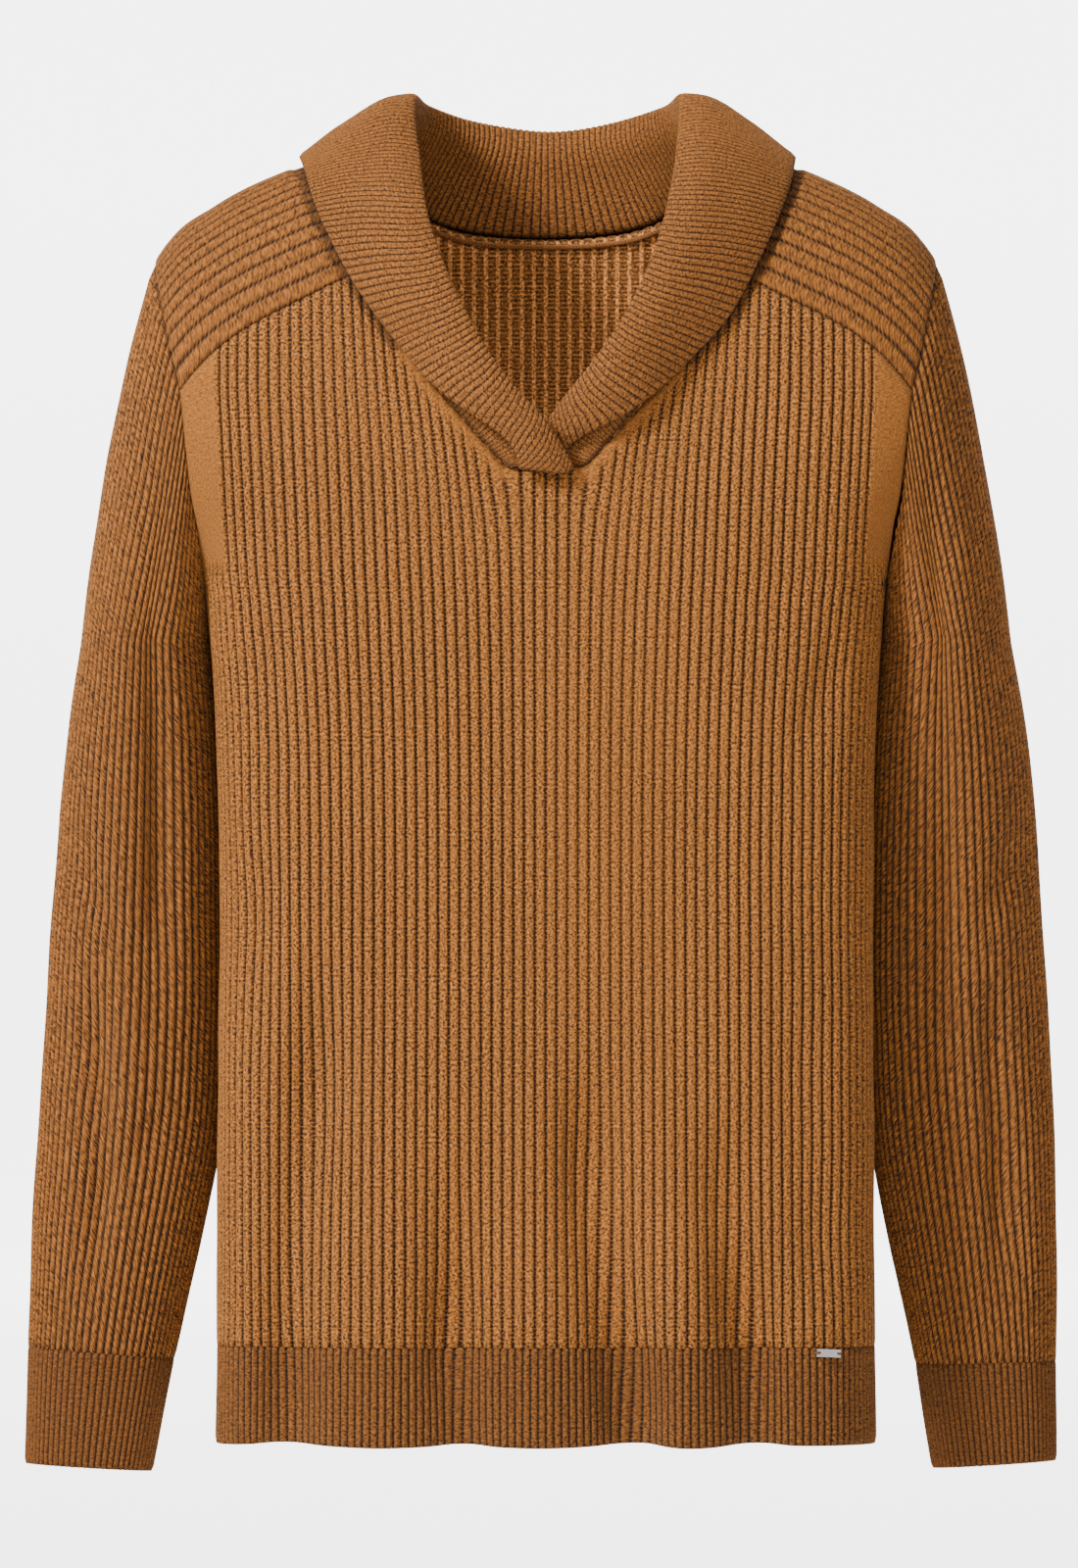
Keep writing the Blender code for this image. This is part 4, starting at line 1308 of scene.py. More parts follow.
@dataclass
class Band(Piece):
    """Half of the hem band, which hangs from its panel."""

    side: Side = Side.FRONT
    half_ribs: int = 57
    rows: int = 16
    stitch: float = 1.6 * MM
    lift: float = 0.3
    scallop: float = 0.5 * MM
    thin: tuple[int, int] = (4, 6)
    flat: tuple[float, float] = (0.46, 0.05)

    def make(self) -> None:
        """Builds the band."""
        form, side = self.form, self.side
        phase = self.knit.ribs.places(-self.half_ribs, self.half_ribs)
        turn = form.turn_of(np.abs(phase) / self.half_ribs, side) * half_of(phase)
        climb = np.linspace(0, 1, self.rows + 1)[:, None]
        crown = np.cos(phase * 2 * math.pi)[None, :]
        z = form.hem + (form.hem_seam - form.hem) * climb - self.scallop * crown * climb**8
        points = form.at(np.broadcast_to(turn, z.shape), z, side)
        points[..., 2] += self.lift * form.fold_depth(points[..., 0], z, side) * (1 - climb)
        cloth = Cloth(
            points, np.broadcast_to(phase, z.shape), -z / self.stitch, tucks=(0.6, 0.3, 0.9, 0.9)
        )
        cloth = cloth if side is Side.FRONT else cloth.turned()
        made = self.maker.build(f"hem_band_{side.value}", cloth, self.knit, self.thin, self.creases)
        self.settle(made, self.flat, "hung", (f"{side.value}_panel",))


@dataclass
class Yoke(Piece):
    """Saddle yoke over one shoulder, its ribs running from the neck to the armhole."""

    hand: Hand = Hand.RIGHT
    ribs_over: int = 20
    steps_along: int = 96
    stitch: float = 2.0 * MM
    thin: tuple[int, int] = (8, 4)
    flat: tuple[float, float] = (0.15, 0.13)

    def make(self) -> None:
        """Builds the yoke."""
        phase = self.knit.ribs.places(0, self.ribs_over)[:, None]
        along = np.linspace(0, 1, self.steps_along + 1)[None, :]
        points = self.form.yoke(along, phase / self.ribs_over)
        course = run_along(points, 1)
        phase = np.broadcast_to(phase, points.shape[:2])
        points = points * np.array([self.hand.value, 1.0, 1.0])
        cloth = Cloth(points, phase, course / self.stitch, pressed=self.maker.pressed(points))
        cloth = cloth if self.hand is Hand.RIGHT else cloth.turned()
        made = self.maker.build(f"yoke_{self.hand.name.lower()}", cloth, self.knit, self.thin)
        self.settle(made, self.flat, "draped", ())


@dataclass
class Sleeve(Piece):
    """Sleeve and cuff of one arm."""

    hand: Hand = Hand.RIGHT
    cuff_knit: Knit = field(kw_only=True)
    ribs_round: int = 62
    cuff_ribs: int = 64
    rows_of_cap: int = 26
    rows_of_sleeve: int = 98
    rows_of_cuff: int = 20
    round_steps: int = 720
    even_height: float = -400 * MM
    cap_fullness: float = 9.0 * MM
    stitch: float = 1.75 * MM
    cuff_stitch: float = 1.6 * MM
    thin: tuple[int, int] = (4, 6)
    flat: tuple[float, float] = (0.36, 0.50)
    cuff_flat: tuple[float, float] = (0.21, 0.058)
    columns: tuple[str, ...] = ("height", "outer", "inner", "axis", "half_depth", "slant")
    tube: dict[Hand, Rows] = field(
        default_factory=lambda: {
            Hand.LEFT: (
                (-245, 237.5, 171.8, 6, 65, 0), (-300, 245.5, 166.4, 14, 58, 0),
                (-370, 252, 163.5, 22, 51, 0), (-440, 256.8, 163, 26, 45, 0),
                (-500, 260.8, 167, 25, 39, 0), (-550, 263.8, 177.5, 22, 34, 0),
                (-609, 265.5, 191.5, 20, 28.5, 6),
            ),
            Hand.RIGHT: (
                (-245, 237.5, 171.8, 6, 65, 0), (-300, 247.5, 166.4, 14, 58, 0),
                (-370, 253.5, 163.5, 22, 51, 0), (-440, 258, 163, 26, 45, 0),
                (-500, 260.8, 167, 25, 39, 0), (-550, 261.5, 176, 22, 34, 0),
                (-614, 261.7, 189.8, 20, 28.5, 1.5),
            ),
        }
    )
    end: dict[Hand, Rows] = field(
        default_factory=lambda: {
            Hand.LEFT: (
                (-609, 265.5, 191.5, 20, 28.5, 6), (-640, 266.3, 197, 19.5, 26, 5),
                (-668, 266.8, 202.3, 19, 23.5, 4),
            ),
            Hand.RIGHT: (
                (-614, 261.7, 189.8, 20, 28.5, 1.5), (-640, 261.8, 194, 19.5, 26, 2.5),
                (-666.5, 261.8, 198.4, 19, 23.5, 4),
            ),
        }
    )

    def rings(self, rows: Rows, heights: Array, angles: Array) -> Array:
        """Rings of the tube.

        Args:
            rows: Rows of the tube's table.
            heights: Heights of the rings.
            angles: 0 faces the body, a quarter turn faces front, a half turn faces out.

        Returns:
            Points, a row for each height.
        """
        table = Table(self.columns, rows)
        size = {name: table.read(name, heights)[:, None] for name in self.columns[1:]}
        half = (size["outer"] - size["inner"]) / 2
        x = (size["outer"] + size["inner"]) / 2 - half * np.cos(angles)
        y = size["axis"] - size["half_depth"] * np.sin(angles)
        z = heights[:, None] - size["slant"] * np.cos(angles) / 2
        return np.stack([self.hand.value * x, y, z], axis=-1)

    def angles_of(self, phase: Array, count: int) -> Array:
        """Spaces places evenly round the arm.

        Args:
            phase: Places, counted in ribs.
            count: How many ribs go round.

        Returns:
            Their angles.
        """
        angles = np.linspace(0, 2 * math.pi, self.round_steps + 1)
        ring = self.rings(self.tube[self.hand], np.array([self.even_height]), angles)[0]
        along = run_along(ring)
        return np.interp(phase / count, along / along[-1], angles)

    def handed(self, cloth: Cloth) -> Cloth:
        """Returns the cloth with its face outwards on this arm."""
        return cloth if self.hand is Hand.LEFT else cloth.turned()

    def sleeve_cloth(self) -> Cloth:
        """Grid of the sleeve, from the armhole down.

        Returns:
            The grid.
        """
        phase = self.knit.ribs.places(0, self.ribs_round)
        angles = self.angles_of(phase, self.ribs_round)
        loop = self.form.armhole_loop(self.hand)
        loop = np.concatenate([loop, loop[:1]])
        along = run_along(loop)
        top = along[int(np.argmax(loop[:, 2]))]
        place = np.where(
            angles <= math.pi, angles / math.pi * top, top + (angles / math.pi - 1) * (along[-1] - top)
        )
        start = np.stack([np.interp(place, along, loop[:, axis]) for axis in range(3)], axis=-1)
        rows = self.tube[self.hand]
        heights = np.linspace(rows[0][0], rows[-1][0], self.rows_of_sleeve + 1) * MM
        below = self.rings(rows, heights, angles)
        away = np.stack([-np.cos(angles) * self.hand.value, -np.sin(angles), 0 * angles], axis=-1)
        bend = (start + below[0]) / 2 + away * self.cap_fullness * (1 - np.cos(angles))[:, None] / 2
        t = (np.arange(self.rows_of_cap) / self.rows_of_cap)[:, None, None]
        cap = (1 - t) ** 2 * start + 2 * t * (1 - t) * bend + t * t * below[0]
        points = np.concatenate([cap, below])
        course = run_along(points) / self.stitch
        phases = np.broadcast_to(phase, course.shape)
        return self.handed(Cloth(points, phases, course, True, (1.3, 0.3, 0, 0)))

    def cuff_cloth(self) -> Cloth:
        """Grid of the cuff.

        Returns:
            The grid.
        """
        phase = self.cuff_knit.ribs.places(0, self.cuff_ribs)
        rows = self.end[self.hand]
        heights = np.linspace(rows[0][0], rows[-1][0], self.rows_of_cuff + 1) * MM
        points = self.rings(rows, heights, self.angles_of(phase, self.cuff_ribs))
        phases = np.broadcast_to(phase, points.shape[:2])
        return self.handed(Cloth(points, phases, -points[..., 2] / self.cuff_stitch, True, (0.3, 0.6, 0, 0)))

    def make(self) -> None:
        """Builds the sleeve and its cuff."""
        hand = self.hand.name.lower()
        sleeve = self.maker.build(f"sleeve_{hand}", self.sleeve_cloth(), self.knit, self.thin, self.creases)
        self.settle(sleeve, self.flat, "hung", (f"yoke_{hand}",))
        cuff = self.maker.build(f"cuff_{hand}", self.cuff_cloth(), self.cuff_knit, self.thin)
        self.settle(cuff, self.cuff_flat, "hung", (f"sleeve_{hand}",))


@dataclass
class Collar(Piece):
    """Shawl collar: a band that rises from the neckline and falls over outwards."""

    rib_pitch: float = 3.1 * MM
    stitch: float = 1.5 * MM
    edge_lift: float = 4.8 * MM
    thickness: float = 2.5 * MM
    clearance: float = 0.5 * MM
    small_turn: float = 0.01
    end_slant: float = 27.0 * MM
    end_reach: float = 52.0 * MM
    end_ease: float = 1.5
    edge_slant: float = 2.0
    seam_slant: float = 0.6
    stand_lean: float = 0.2
    fall_bulge: float = 0.5
    fold_knot: int = 3
    steps: tuple[int, ...] = (8, 6, 6, 6, 6, 10)
    thin: tuple[int, int] = (2, 3)
    flat: tuple[float, float] = (0.66, 0.15)
    columns: tuple[str, ...] = (
        "seam_x", "seam_y", "seam_z", "fold_x", "fold_y", "fold_z", "edge_x", "edge_y", "edge_z", "roll",
    )
    rows: dict[Hand, tuple[tuple[Any, ...], ...]] = field(
        default_factory=lambda: {
            Hand.LEFT: (
                (-20, -89.6, -157.2, 14.5, -94, -157.6, -13.5, -98, -158.4, 3.6),
                (-24.2, "front", -153.5, 6.5, -97.5, -144, -15.5, -99.5, -150, 3.8),
                (-29.3, "front", -147.5, -1.5, -100, -132, -22, -100, -141.5, 4.2),
                (-35.7, "front", -140, -12, -100.5, -121, -33.5, -98.5, -133.5, 4.8),
                (-47, "front", -127, -26, -102, -103.5, -55.5, -96, -117.5, 5.4),
                (-61, "front", -109, -40, -101, -79, -77, "front", -94, 6.0),
                (-75, "front", -83, -51, -96, -55, -98, "front", -64, 6.5),
                (-83, "front", -60, -58.5, -86.5, -33.5, -112, "front", -37, 6.5),
                (-86.5, "front", -25, -64, -52, 2, -122, "front", -8.5, 6.5),
                (-81.5, "front", 6, -67, -7, 34, -126, 3, 3, 6.5),
                (-77, "back", -10, -58.5, 33, 30, -116, "back", -16, 6.5),
                (-53, "back", -30, -34, 58, 23.5, -74, "back", -45, 6.5),
                (0, "back", -36.5, 0, 66, 19, 0, "back", -53, 6.5),
            ),
            Hand.RIGHT: (
                (20, -83.5, -156.9, -13, -79, -155, 6, -83, -155, 3.6),
                (24.2, "front", -153.5, -6, -80.5, -143.5, 9.5, -84.5, -150, 3.7),
                (29.3, "front", -147.5, 1.5, -85, -132.5, 14.5, -89, -144, 4.0),
                (36.5, "front", -139, 12.5, -94.5, -117.5, 37, -97.5, -132, 4.6),
                (47, "front", -127, 21.5, -101.5, -107, 53, -96, -121.5, 5.2),
                (61, "front", -109, 36, -101.5, -86.5, 75, "front", -102, 6.0),
                (72.5, "front", -88.5, 47.5, -98, -65, 94.5, "front", -79.5, 6.5),
                (81, "front", -66.5, 56, -92, -44.5, 108.5, "front", -53, 6.5),
                (86.4, "front", -36, 63.5, -72, -15, 121, "front", -24, 6.5),
                (86, "front", -8, 67.5, -34, 17, 126.5, "front", -3, 6.5),
                (81.5, "front", 6, 68.5, -6, 34, 127.5, 4, 3, 6.5),
                (77, "back", -10, 59.5, 33, 30, 117, "back", -16, 6.5),
                (53, "back", -30, 34.5, 58, 23.5, 74, "back", -45, 6.5),
                (0, "back", -36.5, 0, 66, 19, 0, "back", -53, 6.5),
            ),
        }
    )

    def on_cloth(self, x: float, z: float, side: str, lift: float, goal: Array, share: float) -> Array:
        """Point on the shoulders.

        Args:
            x: Distance from the middle.
            z: Height.
            side: Front or back.
            lift: How far out along the normal.
            goal: Point that the band rises towards.
            share: 1 to clear the cut edge of the cloth, 0 to stay.

        Returns:
            The point.
        """
        form, turn, step = self.form, self.small_turn, 0.5 * MM
        angle = min(float(form.shoulder_angle(x, z)), math.pi / 2 - turn)
        angle = math.pi - angle if side == "back" else angle
        point = form.shoulder(x, angle)
        run = form.shoulder(x + step, angle) - form.shoulder(x - step, angle)
        over = form.shoulder(x, angle + turn) - form.shoulder(x, angle - turn)
        normal = unit(np.cross(run, over))
        along = goal - point
        rise = max(along.dot(normal) / np.linalg.norm(along), 0)
        along = along - along.dot(normal) * normal
        shift = share * (self.clearance + self.thickness * rise)
        return point + lift * normal + shift * unit(along)

    def rails(self, hand: Hand) -> Array:
        """Seam, fold, edge and roll of one half, from the V to the middle of the back.

        Args:
            hand: Which half.

        Returns:
            Ten numbers a row: the three points and the roll.
        """
        made = []
        for row in self.rows[hand]:
            value = dict(zip(self.columns, row))
            fold = np.array([value[f"fold_{axis}"] for axis in "xyz"]) * MM
            ends = []
            for name, lift, share in (("seam", -self.thickness, 1), ("edge", self.edge_lift, 0)):
                x, y, z = (value[f"{name}_{axis}"] for axis in "xyz")
                if isinstance(y, str):
                    ends.append(self.on_cloth(x * MM, z * MM, y, lift, fold, share))
                else:
                    ends.append(np.array([x, y, z]) * MM)
            made.append(np.concatenate([ends[0], fold, ends[1], [value["roll"] * MM]]))
        return np.array(made)

    def stations(self, wanted: Array, along: Array, whole: Array) -> Array:
        """Knots of the collar's section at each station.

        Args:
            wanted: Where the stations are along the fold.
            along: Where the rails' rows are along it.
            whole: The rails of both halves.

        Returns:
            Seven points a station: seam, stand, behind the fold, fold, before it, fall and edge.
        """
        read = np.stack([eased(along, whole[:, index], wanted) for index in range(10)], axis=-1)
        seam, fold, edge, roll = read[:, 0:3], read[:, 3:6], read[:, 6:9], read[:, 9:10]
        tangent = unit(np.gradient(fold, wanted, axis=0))
        inward = (seam + edge) / 2 - fold
        inward = unit(inward - (inward * tangent).sum(axis=1, keepdims=True) * tangent)
        outward = np.cross(tangent, inward)
        behind = fold - outward * roll + inward * roll
        before = fold + outward * roll + inward * roll
        stand = (seam + behind) / 2 - outward * roll * self.stand_lean
        fall = (before + edge) / 2 + outward * roll * self.fall_bulge
        return np.stack([seam, stand, behind, fold, before, fall, edge], axis=1)

    def cloth(self) -> Cloth:
        """Grid of the collar.

        Returns:
            The grid: a row for each station, a column for each place from seam to edge.
        """
        left, right = self.rails(Hand.LEFT), self.rails(Hand.RIGHT)
        whole = np.concatenate([left, right[-2::-1]])
        along = run_along(whole[:, 3:6])
        count = round(along[-1] / self.rib_pitch)
        phase = self.knit.ribs.places(0, count)
        wanted = phase / count * along[-1]
        between = [k + np.arange(n) / n for k, n in enumerate(self.steps)]
        places = np.concatenate([*between, [len(self.steps)]])
        points = np.stack([self.profile(knots, places) for knots in self.stations(wanted, along, whole)])
        course = run_along(points, 1)
        middle = int(np.argmin(np.abs(places - self.fold_knot)))
        fallen = course - course[:, middle : middle + 1]
        below = fallen / course.max(axis=1, keepdims=True) * self.edge_slant
        from_fold = np.where(fallen > 0, below, -fallen / course.max() * self.seam_slant)
        near_end = np.minimum(wanted, along[-1] - wanted)[:, None]
        slant = self.end_slant * np.exp(-((near_end / self.end_reach) ** self.end_ease)) * from_fold
        turned = np.where(wanted < along[-1] / 2, 1.0, -1.0)[:, None] * slant
        phases = phase[:, None] + turned / self.rib_pitch
        return Cloth(points, phases, course / self.stitch, tucks=(1.2, 1.2, 1.2, 0.8)).turned()

    @staticmethod
    def profile(knots: Array, places: Array) -> Array:
        """Smooth line through the knots of one station.

        Args:
            knots: Its seven points.
            places: Where to read it: 2.5 is halfway between the knots 2 and 3.

        Returns:
            The points.
        """
        along = run_along(knots)
        wanted = np.interp(places, np.arange(len(knots)), along)
        return np.stack([eased(along, knots[:, axis], wanted) for axis in range(3)], axis=-1)

    def make(self) -> None:
        """Builds the collar."""
        made = self.maker.build("shawl_collar", self.cloth(), self.knit, self.thin)
        self.settle(made, self.flat, "folded", ("yoke_left", "yoke_right"))


@dataclass
class Trims:
    """Small pieces: the linking chain inside the back neck and the plate with its threads."""

    form: Form
    chain_half_span: float = 63.0 * MM
    chain_steps: int = 420
    chain_drop: float = 2.7 * MM
    chain_depth: float = 4.4 * MM
    chain_radius: float = 0.55 * MM
    chain_strand: float = 0.62 * MM
    chain_flatness: float = 1.5
    chain_twist: float = 3.4 * MM
    thread_radius: float = 0.35 * MM
    plate_tilt: float = math.radians(-3.0)
    plate_centre: tuple[float, float] = (142.8 * MM, -606.4 * MM)
    plate_lift: float = 1.3 * MM
    plate_rounding: float = 0.18 * MM
    loop_from_middle: float = 6.5 * MM
    loop_radii: tuple[float, float] = (1.25 * MM, 1.05 * MM)
    loop_shift: float = 0.28 * MM
    loop_steps: int = 24

    def cord(
        self, name: str, lines: list[Array], radius: float, closed: bool, finish: Finish
    ) -> bpy.types.Object:
        """Round cords along lines of points.

        Args:
            name: Name of the piece.
            lines: Points of each cord.
            radius: Half its thickness.
            closed: Whether each is a loop.
            finish: Its material.

        Returns:
            The new object.
        """
        curve = bpy.data.curves.new(name, "CURVE")
        curve.dimensions = "3D"
        curve.bevel_depth = radius
        curve.bevel_resolution = 2
        curve.use_fill_caps = not closed
        for line in lines:
            spline = curve.splines.new("POLY")
            spline.points.add(len(line) - 1)
            spline.points.foreach_set("co", np.c_[line, np.ones(len(line))].ravel())
            spline.use_cyclic_u = closed
        curve.materials.append(finish)
        made = add_object(name, curve)
        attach(made, "root")
        return made

    def chain(self, finish: Finish) -> None:
        """Builds the linking chain as two twisted strands just under the back neck seam.

        Args:
            finish: Its material.
        """
        x = np.linspace(-self.chain_half_span, self.chain_half_span, self.chain_steps)
        z = self.form.back_neck.read("height", np.abs(x), "across") - self.chain_drop
        points = self.form.across(x, z, Side.BACK)
        run = unit(np.gradient(points, axis=0))
        rise = self.form.across(x, z + MM, Side.BACK) - self.form.across(x, z - MM, Side.BACK)
        normal = unit(np.cross(rise, run))
        up = np.cross(run, normal)
        middle = points - normal * self.chain_depth
        lines = []
        for start in (0.0, math.pi):
            turn = (x / self.chain_twist * 2 * math.pi + start)[:, None]
            strand = np.cos(turn) * normal + self.chain_flatness * np.sin(turn) * up
            lines.append(middle + self.chain_strand * strand)
        made = self.cord("neck_chain_links", lines, self.chain_radius, False, finish)
        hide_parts("neck_chain")

    def plate(self, finish: Finish, packed: bpy.types.Object) -> None:
        """Builds the bare metal plate, set on the crowns of the ribs.

        Args:
            finish: Its material.
            packed: The plate's own solid.
        """
        mesh = packed.data.copy()
        mesh.transform(packed.matrix_world)
        x, z = self.plate_centre
        away = self.form.across(x, z + MM, Side.FRONT) - self.form.across(x, z - MM, Side.FRONT)
        side = self.form.across(x + MM, z, Side.FRONT) - self.form.across(x - MM, z, Side.FRONT)
        mesh.transform(Matrix.Translation(unit(np.cross(side, away)) * self.plate_lift))
        mesh.materials.clear()
        mesh.materials.append(finish)
        made = add_object("hem_plate_metal", mesh)
        rounded = made.modifiers.new("rounded", "BEVEL")
        rounded.width = self.plate_rounding
        rounded.segments = 2
        rounded.limit_method = "ANGLE"
        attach(made, "root")
        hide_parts("hem_plate")

    def threads(self, finish: Finish) -> None:
        """Builds the loops of yarn that hold the plate through its two holes.

        Args:
            finish: Their material.
        """
        x, z = self.plate_centre
        here = self.form.across(x, z, Side.FRONT)
        step = 5 * MM
        side = unit(self.form.across(x + step, z, Side.FRONT) - self.form.across(x - step, z, Side.FRONT))
        out = unit(np.cross(side, [0, 0, 1.0]))
        up = np.cross(out, side)
        tilted = side * math.cos(self.plate_tilt) + up * math.sin(self.plate_tilt)
        turns = np.linspace(0, 2 * math.pi, self.loop_steps, endpoint=False)[:, None]
        along, deep = self.loop_radii
        lines = []
        for end in (-1, 1):
            middle = here + tilted * end * self.loop_from_middle + out * self.plate_lift
            loop = middle + along * np.cos(turns) * tilted + deep * np.sin(turns) * out
            lines += [loop - up * self.loop_shift, loop + up * self.loop_shift]
        self.cord("plate_threads", lines, self.thread_radius, True, finish)


@dataclass(frozen=True)
class Lamp:
    """Square soft lamp that faces the garment."""

    name: str
    place: tuple[float, float, float]
    size: float
    power: float
    aim: tuple[float, float, float] = (0, 0, -0.3)

    def hang(self) -> None:
        """Adds the lamp to the scene."""
        light = bpy.data.lights.new(self.name, "AREA")
        light.size = self.size
        light.energy = self.power
        made = add_object(self.name, light)
        made.location = self.place
        made.visible_camera = False
        facing = Vector(self.aim) - made.location
        made.rotation_euler = facing.to_track_quat("-Z", "Y").to_euler()


@dataclass
class Studio:
    """Pale sweep, soft lamps and the camera. The wall stands beyond a camera that looks from behind."""

    floor: float = -1.02
    near: float = -10.0
    wall: float = 17.5
    top: float = 8.0
    bend: float = 1.6
    bend_steps: int = 24
    half_width: float = 13.0
    lamps: tuple[Lamp, ...] = (
        Lamp("key", (-2.1, -2.1, 1.9), 0.7, 250.0),
        Lamp("fill", (0.1, -3.3, 1.0), 1.0, 62.0),
        Lamp("top", (-0.2, -0.5, 1.9), 0.9, 24.0),
    )
    sky: tuple[float, float, float, float] = (0.95, 0.97, 1.0, 1.0)
    sky_strength: float = 0.2
    lens: float = 400.0
    sensor: float = 36.0
    view_end: float = 60.0
    frame_height: float = 0.8
    frame_centre: tuple[float, float] = (-3.5 * MM, -317.5 * MM)
    plane: float = -0.035

    def sweep(self, finish: Finish) -> None:
        """Builds the floor that bends up into the backdrop.

        Args:
            finish: Its material.
        """
        turns = np.linspace(0, math.pi / 2, self.bend_steps)
        y = np.concatenate([[self.near], self.wall - self.bend + self.bend * np.sin(turns), [self.wall]])
        z = np.concatenate([[self.floor], self.floor + self.bend * (1 - np.cos(turns)), [self.top]])
        points = [(side * self.half_width, a, b) for a, b in zip(y, z) for side in (-1, 1)]
        faces = [(2 * k, 2 * k + 1, 2 * k + 3, 2 * k + 2) for k in range(len(y) - 1)]
        mesh = bpy.data.meshes.new("backdrop")
        mesh.from_pydata(points, [], faces)
        mesh.shade_smooth()
        mesh.materials.append(finish)
        made = add_object("backdrop", mesh)

    def light(self) -> None:
        """Lights the garment: a broad key from the upper left, a weak fill and an even sky."""
        for lamp in self.lamps:
            lamp.hang()
        world = bpy.data.worlds.new("studio")
        world.use_nodes = True
        world.node_tree.nodes["Background"].inputs["Color"].default_value = self.sky
        world.node_tree.nodes["Background"].inputs["Strength"].default_value = self.sky_strength
        bpy.context.scene.world = world

    def camera(self) -> None:
        """Adds the camera, level and square to the front."""
        data = bpy.data.cameras.new("camera")
        data.lens = self.lens
        data.sensor_width = self.sensor
        data.clip_end = self.view_end
        made = add_object("camera", data)
        reach = self.frame_height * self.lens / self.sensor
        made.location = (self.frame_centre[0], self.plane - reach, self.frame_centre[1])
        made.rotation_euler = (math.pi / 2, 0, 0)
        bpy.context.scene.camera = made


# Near-black colour for the grooves between ribs: painted shade, not a colour of the yarn.
PAINTED_GROOVE_SHADE = (0.002, 0.0006, 0.0002)
# All parts are knitted of one camel yarn. Its crown colour is set part by part, darker on the yoke, sleeves,
# collar, bands and cuffs than on the body, to match how bright each part looks: painted shade.
FINISHES = (
    KnitFinish("body_rib", (0.22, 0.0755, 0.0112), PAINTED_GROOVE_SHADE, groove_width=0.26, marl=5.2, rungs=0.55),
    # The reverse is the same camel yarn as the face, painted nearly three times as light so that the shaded
    # inside of the back neck looks lit: painted light. Its field between the raised columns is painted darker
    # as shade.
    KnitFinish("body_reverse", (0.62, 0.24, 0.06), (0.15, 0.052, 0.01), reverse=True, marl=4.6),
    KnitFinish(
        "yoke_rib", (0.168, 0.056, 0.0078), (0.008, 0.003, 0.001), wales=1, groove_width=0.22, slant=1.0,
        marl=3.2, rungs=0.7, lean=2.0,
    ),
    KnitFinish("sleeve_rib", (0.188, 0.063, 0.0092), PAINTED_GROOVE_SHADE, wales=1, groove_width=0.31, marl=4.8),
    KnitFinish("band_rib", (0.128, 0.0425, 0.0058), PAINTED_GROOVE_SHADE, wales=1, groove_width=0.24, marl=3.6),
    KnitFinish(
        "cuff_rib", (0.118, 0.0385, 0.0053), (0.016, 0.005, 0.001), wales=1, groove_width=0.22, marl=2.8
    ),
    KnitFinish(
        "collar_rib", (0.178, 0.061, 0.0098), (0.01, 0.003, 0.0008), wales=1, groove_width=0.2, marl=3.6
    ),
    PlainFinish("linking_yarn", (0.22, 0.076, 0.012), 0.9, grain=0.5, grain_scale=1600.0),
    PlainFinish("brushed_metal", (0.8, 0.78, 0.74), 0.32, 1.0, 0.2, 500.0, (0.1, 1.0, 4.0)),
    PlainFinish("sewing_thread", (0.1, 0.035, 0.01), 0.8, grain=0.3),
    PlainFinish(
        "paper_sweep", (0.9, 0.9, 0.895), 0.95, grain=0.01, grain_scale=4.0, glow=4.0, glow_from=(2.0, 6.0),
        dim=0.12,
    ),
)
BODY_CREASES = (
    Crease((-143, -330), (-148, -460), 10, 3.0),
    Crease((-114, -370), (-134, -655), 15, 8.0, to_edge=True),
    Crease((-78, -420), (-80, -655), 17, -2.5, to_edge=True),
    Crease((-51, -500), (-43, -655), 15, 6.0, to_edge=True),
    Crease((-6, -430), (-3, -655), 19, -2.5, to_edge=True),
    Crease((14, -430), (42, -655), 16, 8.0, to_edge=True),
    Crease((60, -440), (70, -655), 15, -2.5, to_edge=True),
    Crease((90, -470), (107, -655), 15, 7.5, to_edge=True),
    Crease((150, -215), (128, -330), 12, 3.0),
    Crease((-150, -215), (-128, -330), 12, 2.5),
    Crease((60, -250), (84, -420), 24, 2.2),
    Crease((-60, -300), (-74, -470), 24, 2.0),
    Crease((128, -420), (138, -600), 14, 2.5),
    Crease((-150, -260), (-96, -420), 14, 2.5, Side.BACK),
    Crease((150, -240), (100, -400), 14, 2.5, Side.BACK),
    Crease((-60, -90), (50, -110), 16, 1.8, Side.BACK),
    Crease((-30, -420), (60, -520), 14, 2.2, Side.BACK),
)


def arm_creases(hand: Hand) -> tuple[Crease, ...]:
    """Creases of one sleeve.

    Args:
        hand: Which sleeve.

    Returns:
        The creases, on that side of the garment.
    """
    rows = (
        ((198, -120), (200, -480), 9, 7.5),
        ((216, -330), (214, -560), 9, -2.0),
        ((229, -400), (233, -600), 8, 6.5),
        ((250, -330), (205, -420), 10, 2.5),
        ((190, -480), (240, -540), 8, 2.2),
        ((200, -200), (225, -420), 12, 3.0, Side.BACK),
        ((185, -420), (245, -500), 10, 2.8, Side.BACK),
    )
    sign = hand.value
    return tuple(
        Crease((sign * start[0], start[1]), (sign * end[0], end[1]), *shape) for start, end, *shape in rows
    )


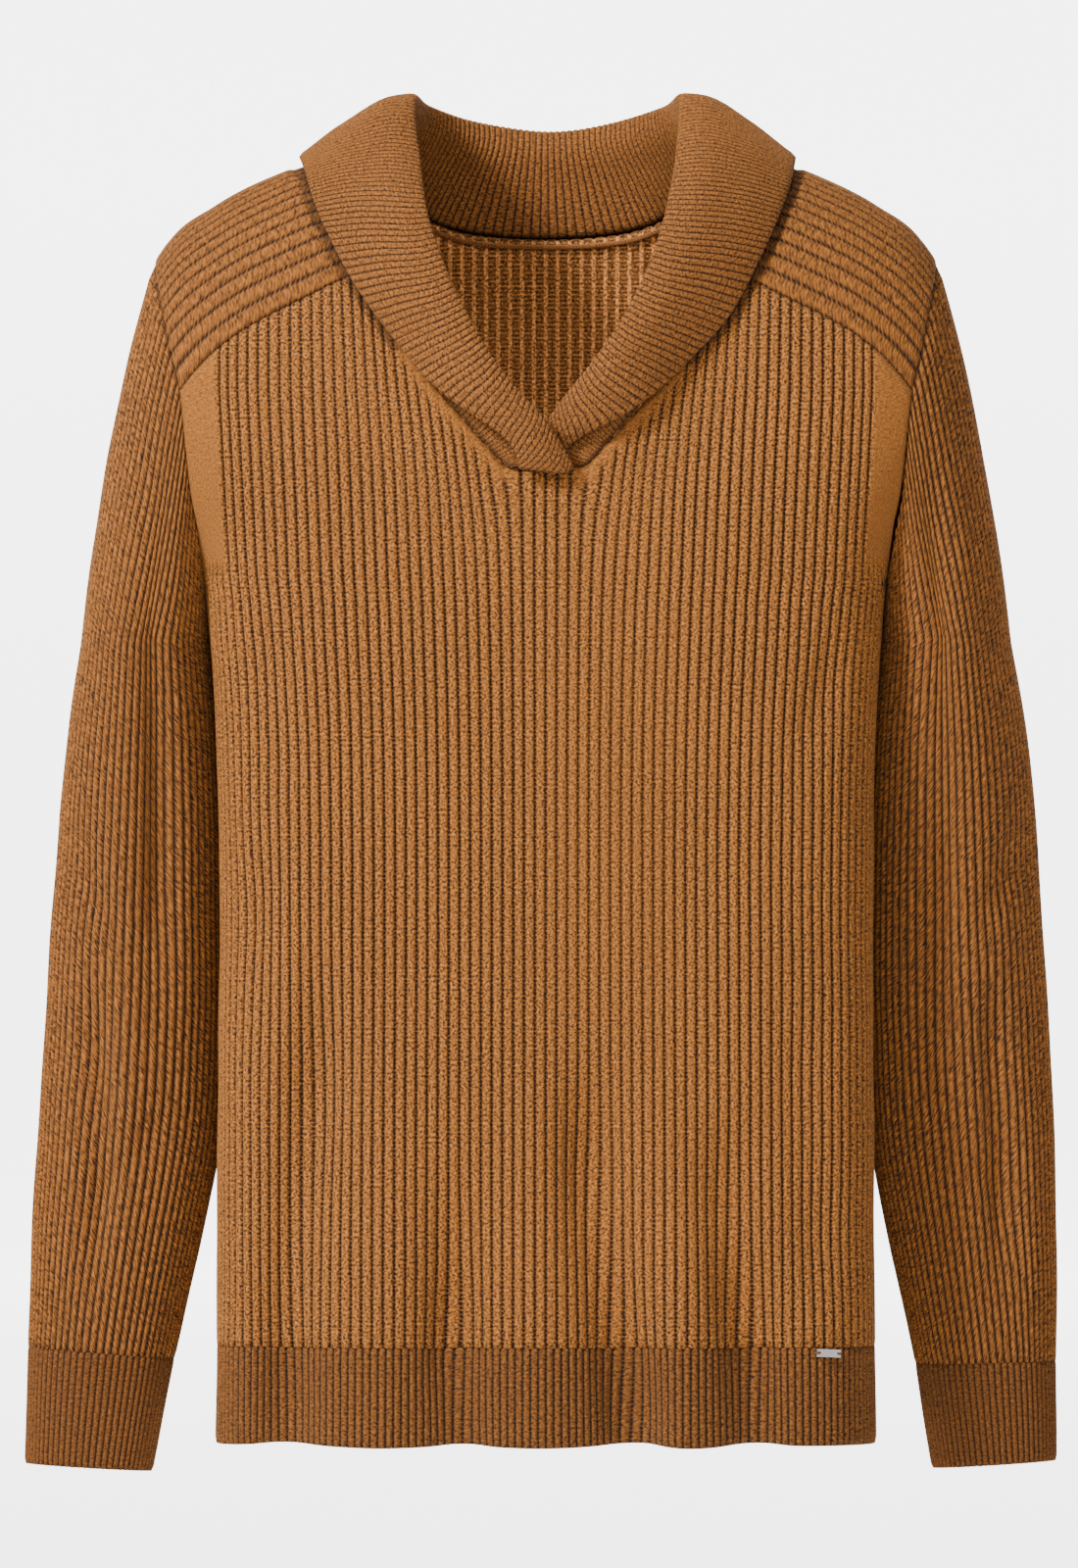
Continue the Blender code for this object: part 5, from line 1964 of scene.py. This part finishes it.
def knits(looks: dict[str, Finish]) -> dict[str, Knit]:
    """The kinds of knit in the garment.

    Args:
        looks: Materials by name.

    Returns:
        The knits, by the part that is made of each.
    """
    fine_stops = (0, 0.1, 0.24, 0.5, 0.76, 0.9)
    broad = RibShape(1.7 * MM, 0.13)
    saddle = RibShape(0.8 * MM, 0.14, 0.35)
    round_rib = RibShape(1.5 * MM, 0.2, 0.5, stops=(0, 0.1, 0.22, 0.5, 0.78, 0.9))
    fine = RibShape(1.2 * MM, 0.17, 0.35, stops=fine_stops)
    close = RibShape(0.6 * MM, 0.14, 0.2, stops=fine_stops)
    made = {
        "body": Knit(broad, looks["body_rib"], looks["body_reverse"]),
        "yoke": Knit(saddle, looks["yoke_rib"], looks["body_reverse"]),
    }
    for part, ribs in (("sleeve", round_rib), ("band", fine), ("cuff", fine), ("collar", close)):
        made[part] = Knit(ribs, looks[f"{part}_rib"], looks[f"{part}_rib"])
    return made


def main() -> None:
    """Builds the pullover on the frame, then the studio."""
    logging.basicConfig(level=logging.INFO, format="%(message)s")
    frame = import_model()

    looks = {finish.name: finish.material() for finish in FINISHES}
    knit = knits(looks)
    form = Form()
    collar = Collar(form, ShellMaker(), knit["collar"])
    maker = ShellMaker(edges=tuple(collar.rails(hand)[:, 6:9] for hand in Hand))
    Panel(form, maker, knit["body"], BODY_CREASES).make()
    Panel(
        form, maker, knit["body"], BODY_CREASES, Side.BACK, half_ribs=36, rows=116, last_upright=0.7222,
        thin=(2, 2),
    ).make()
    for side in Side:
        Band(form, maker, knit["band"], BODY_CREASES, side).make()
    for hand in Hand:
        Yoke(form, maker, knit["yoke"], hand=hand).make()
        Sleeve(form, maker, knit["sleeve"], arm_creases(hand), hand, cuff_knit=knit["cuff"]).make()
    collar.make()
    trims = Trims(form)
    trims.chain(looks["linking_yarn"])
    trims.threads(looks["sewing_thread"])
    trims.plate(looks["brushed_metal"], frame["nodes"]["hem_plate"])
    LOG.info("trims: chain, threads and plate")

    studio = Studio()
    studio.sweep(looks["paper_sweep"])
    studio.light()
    studio.camera()


if __name__ == "__main__":
    main()
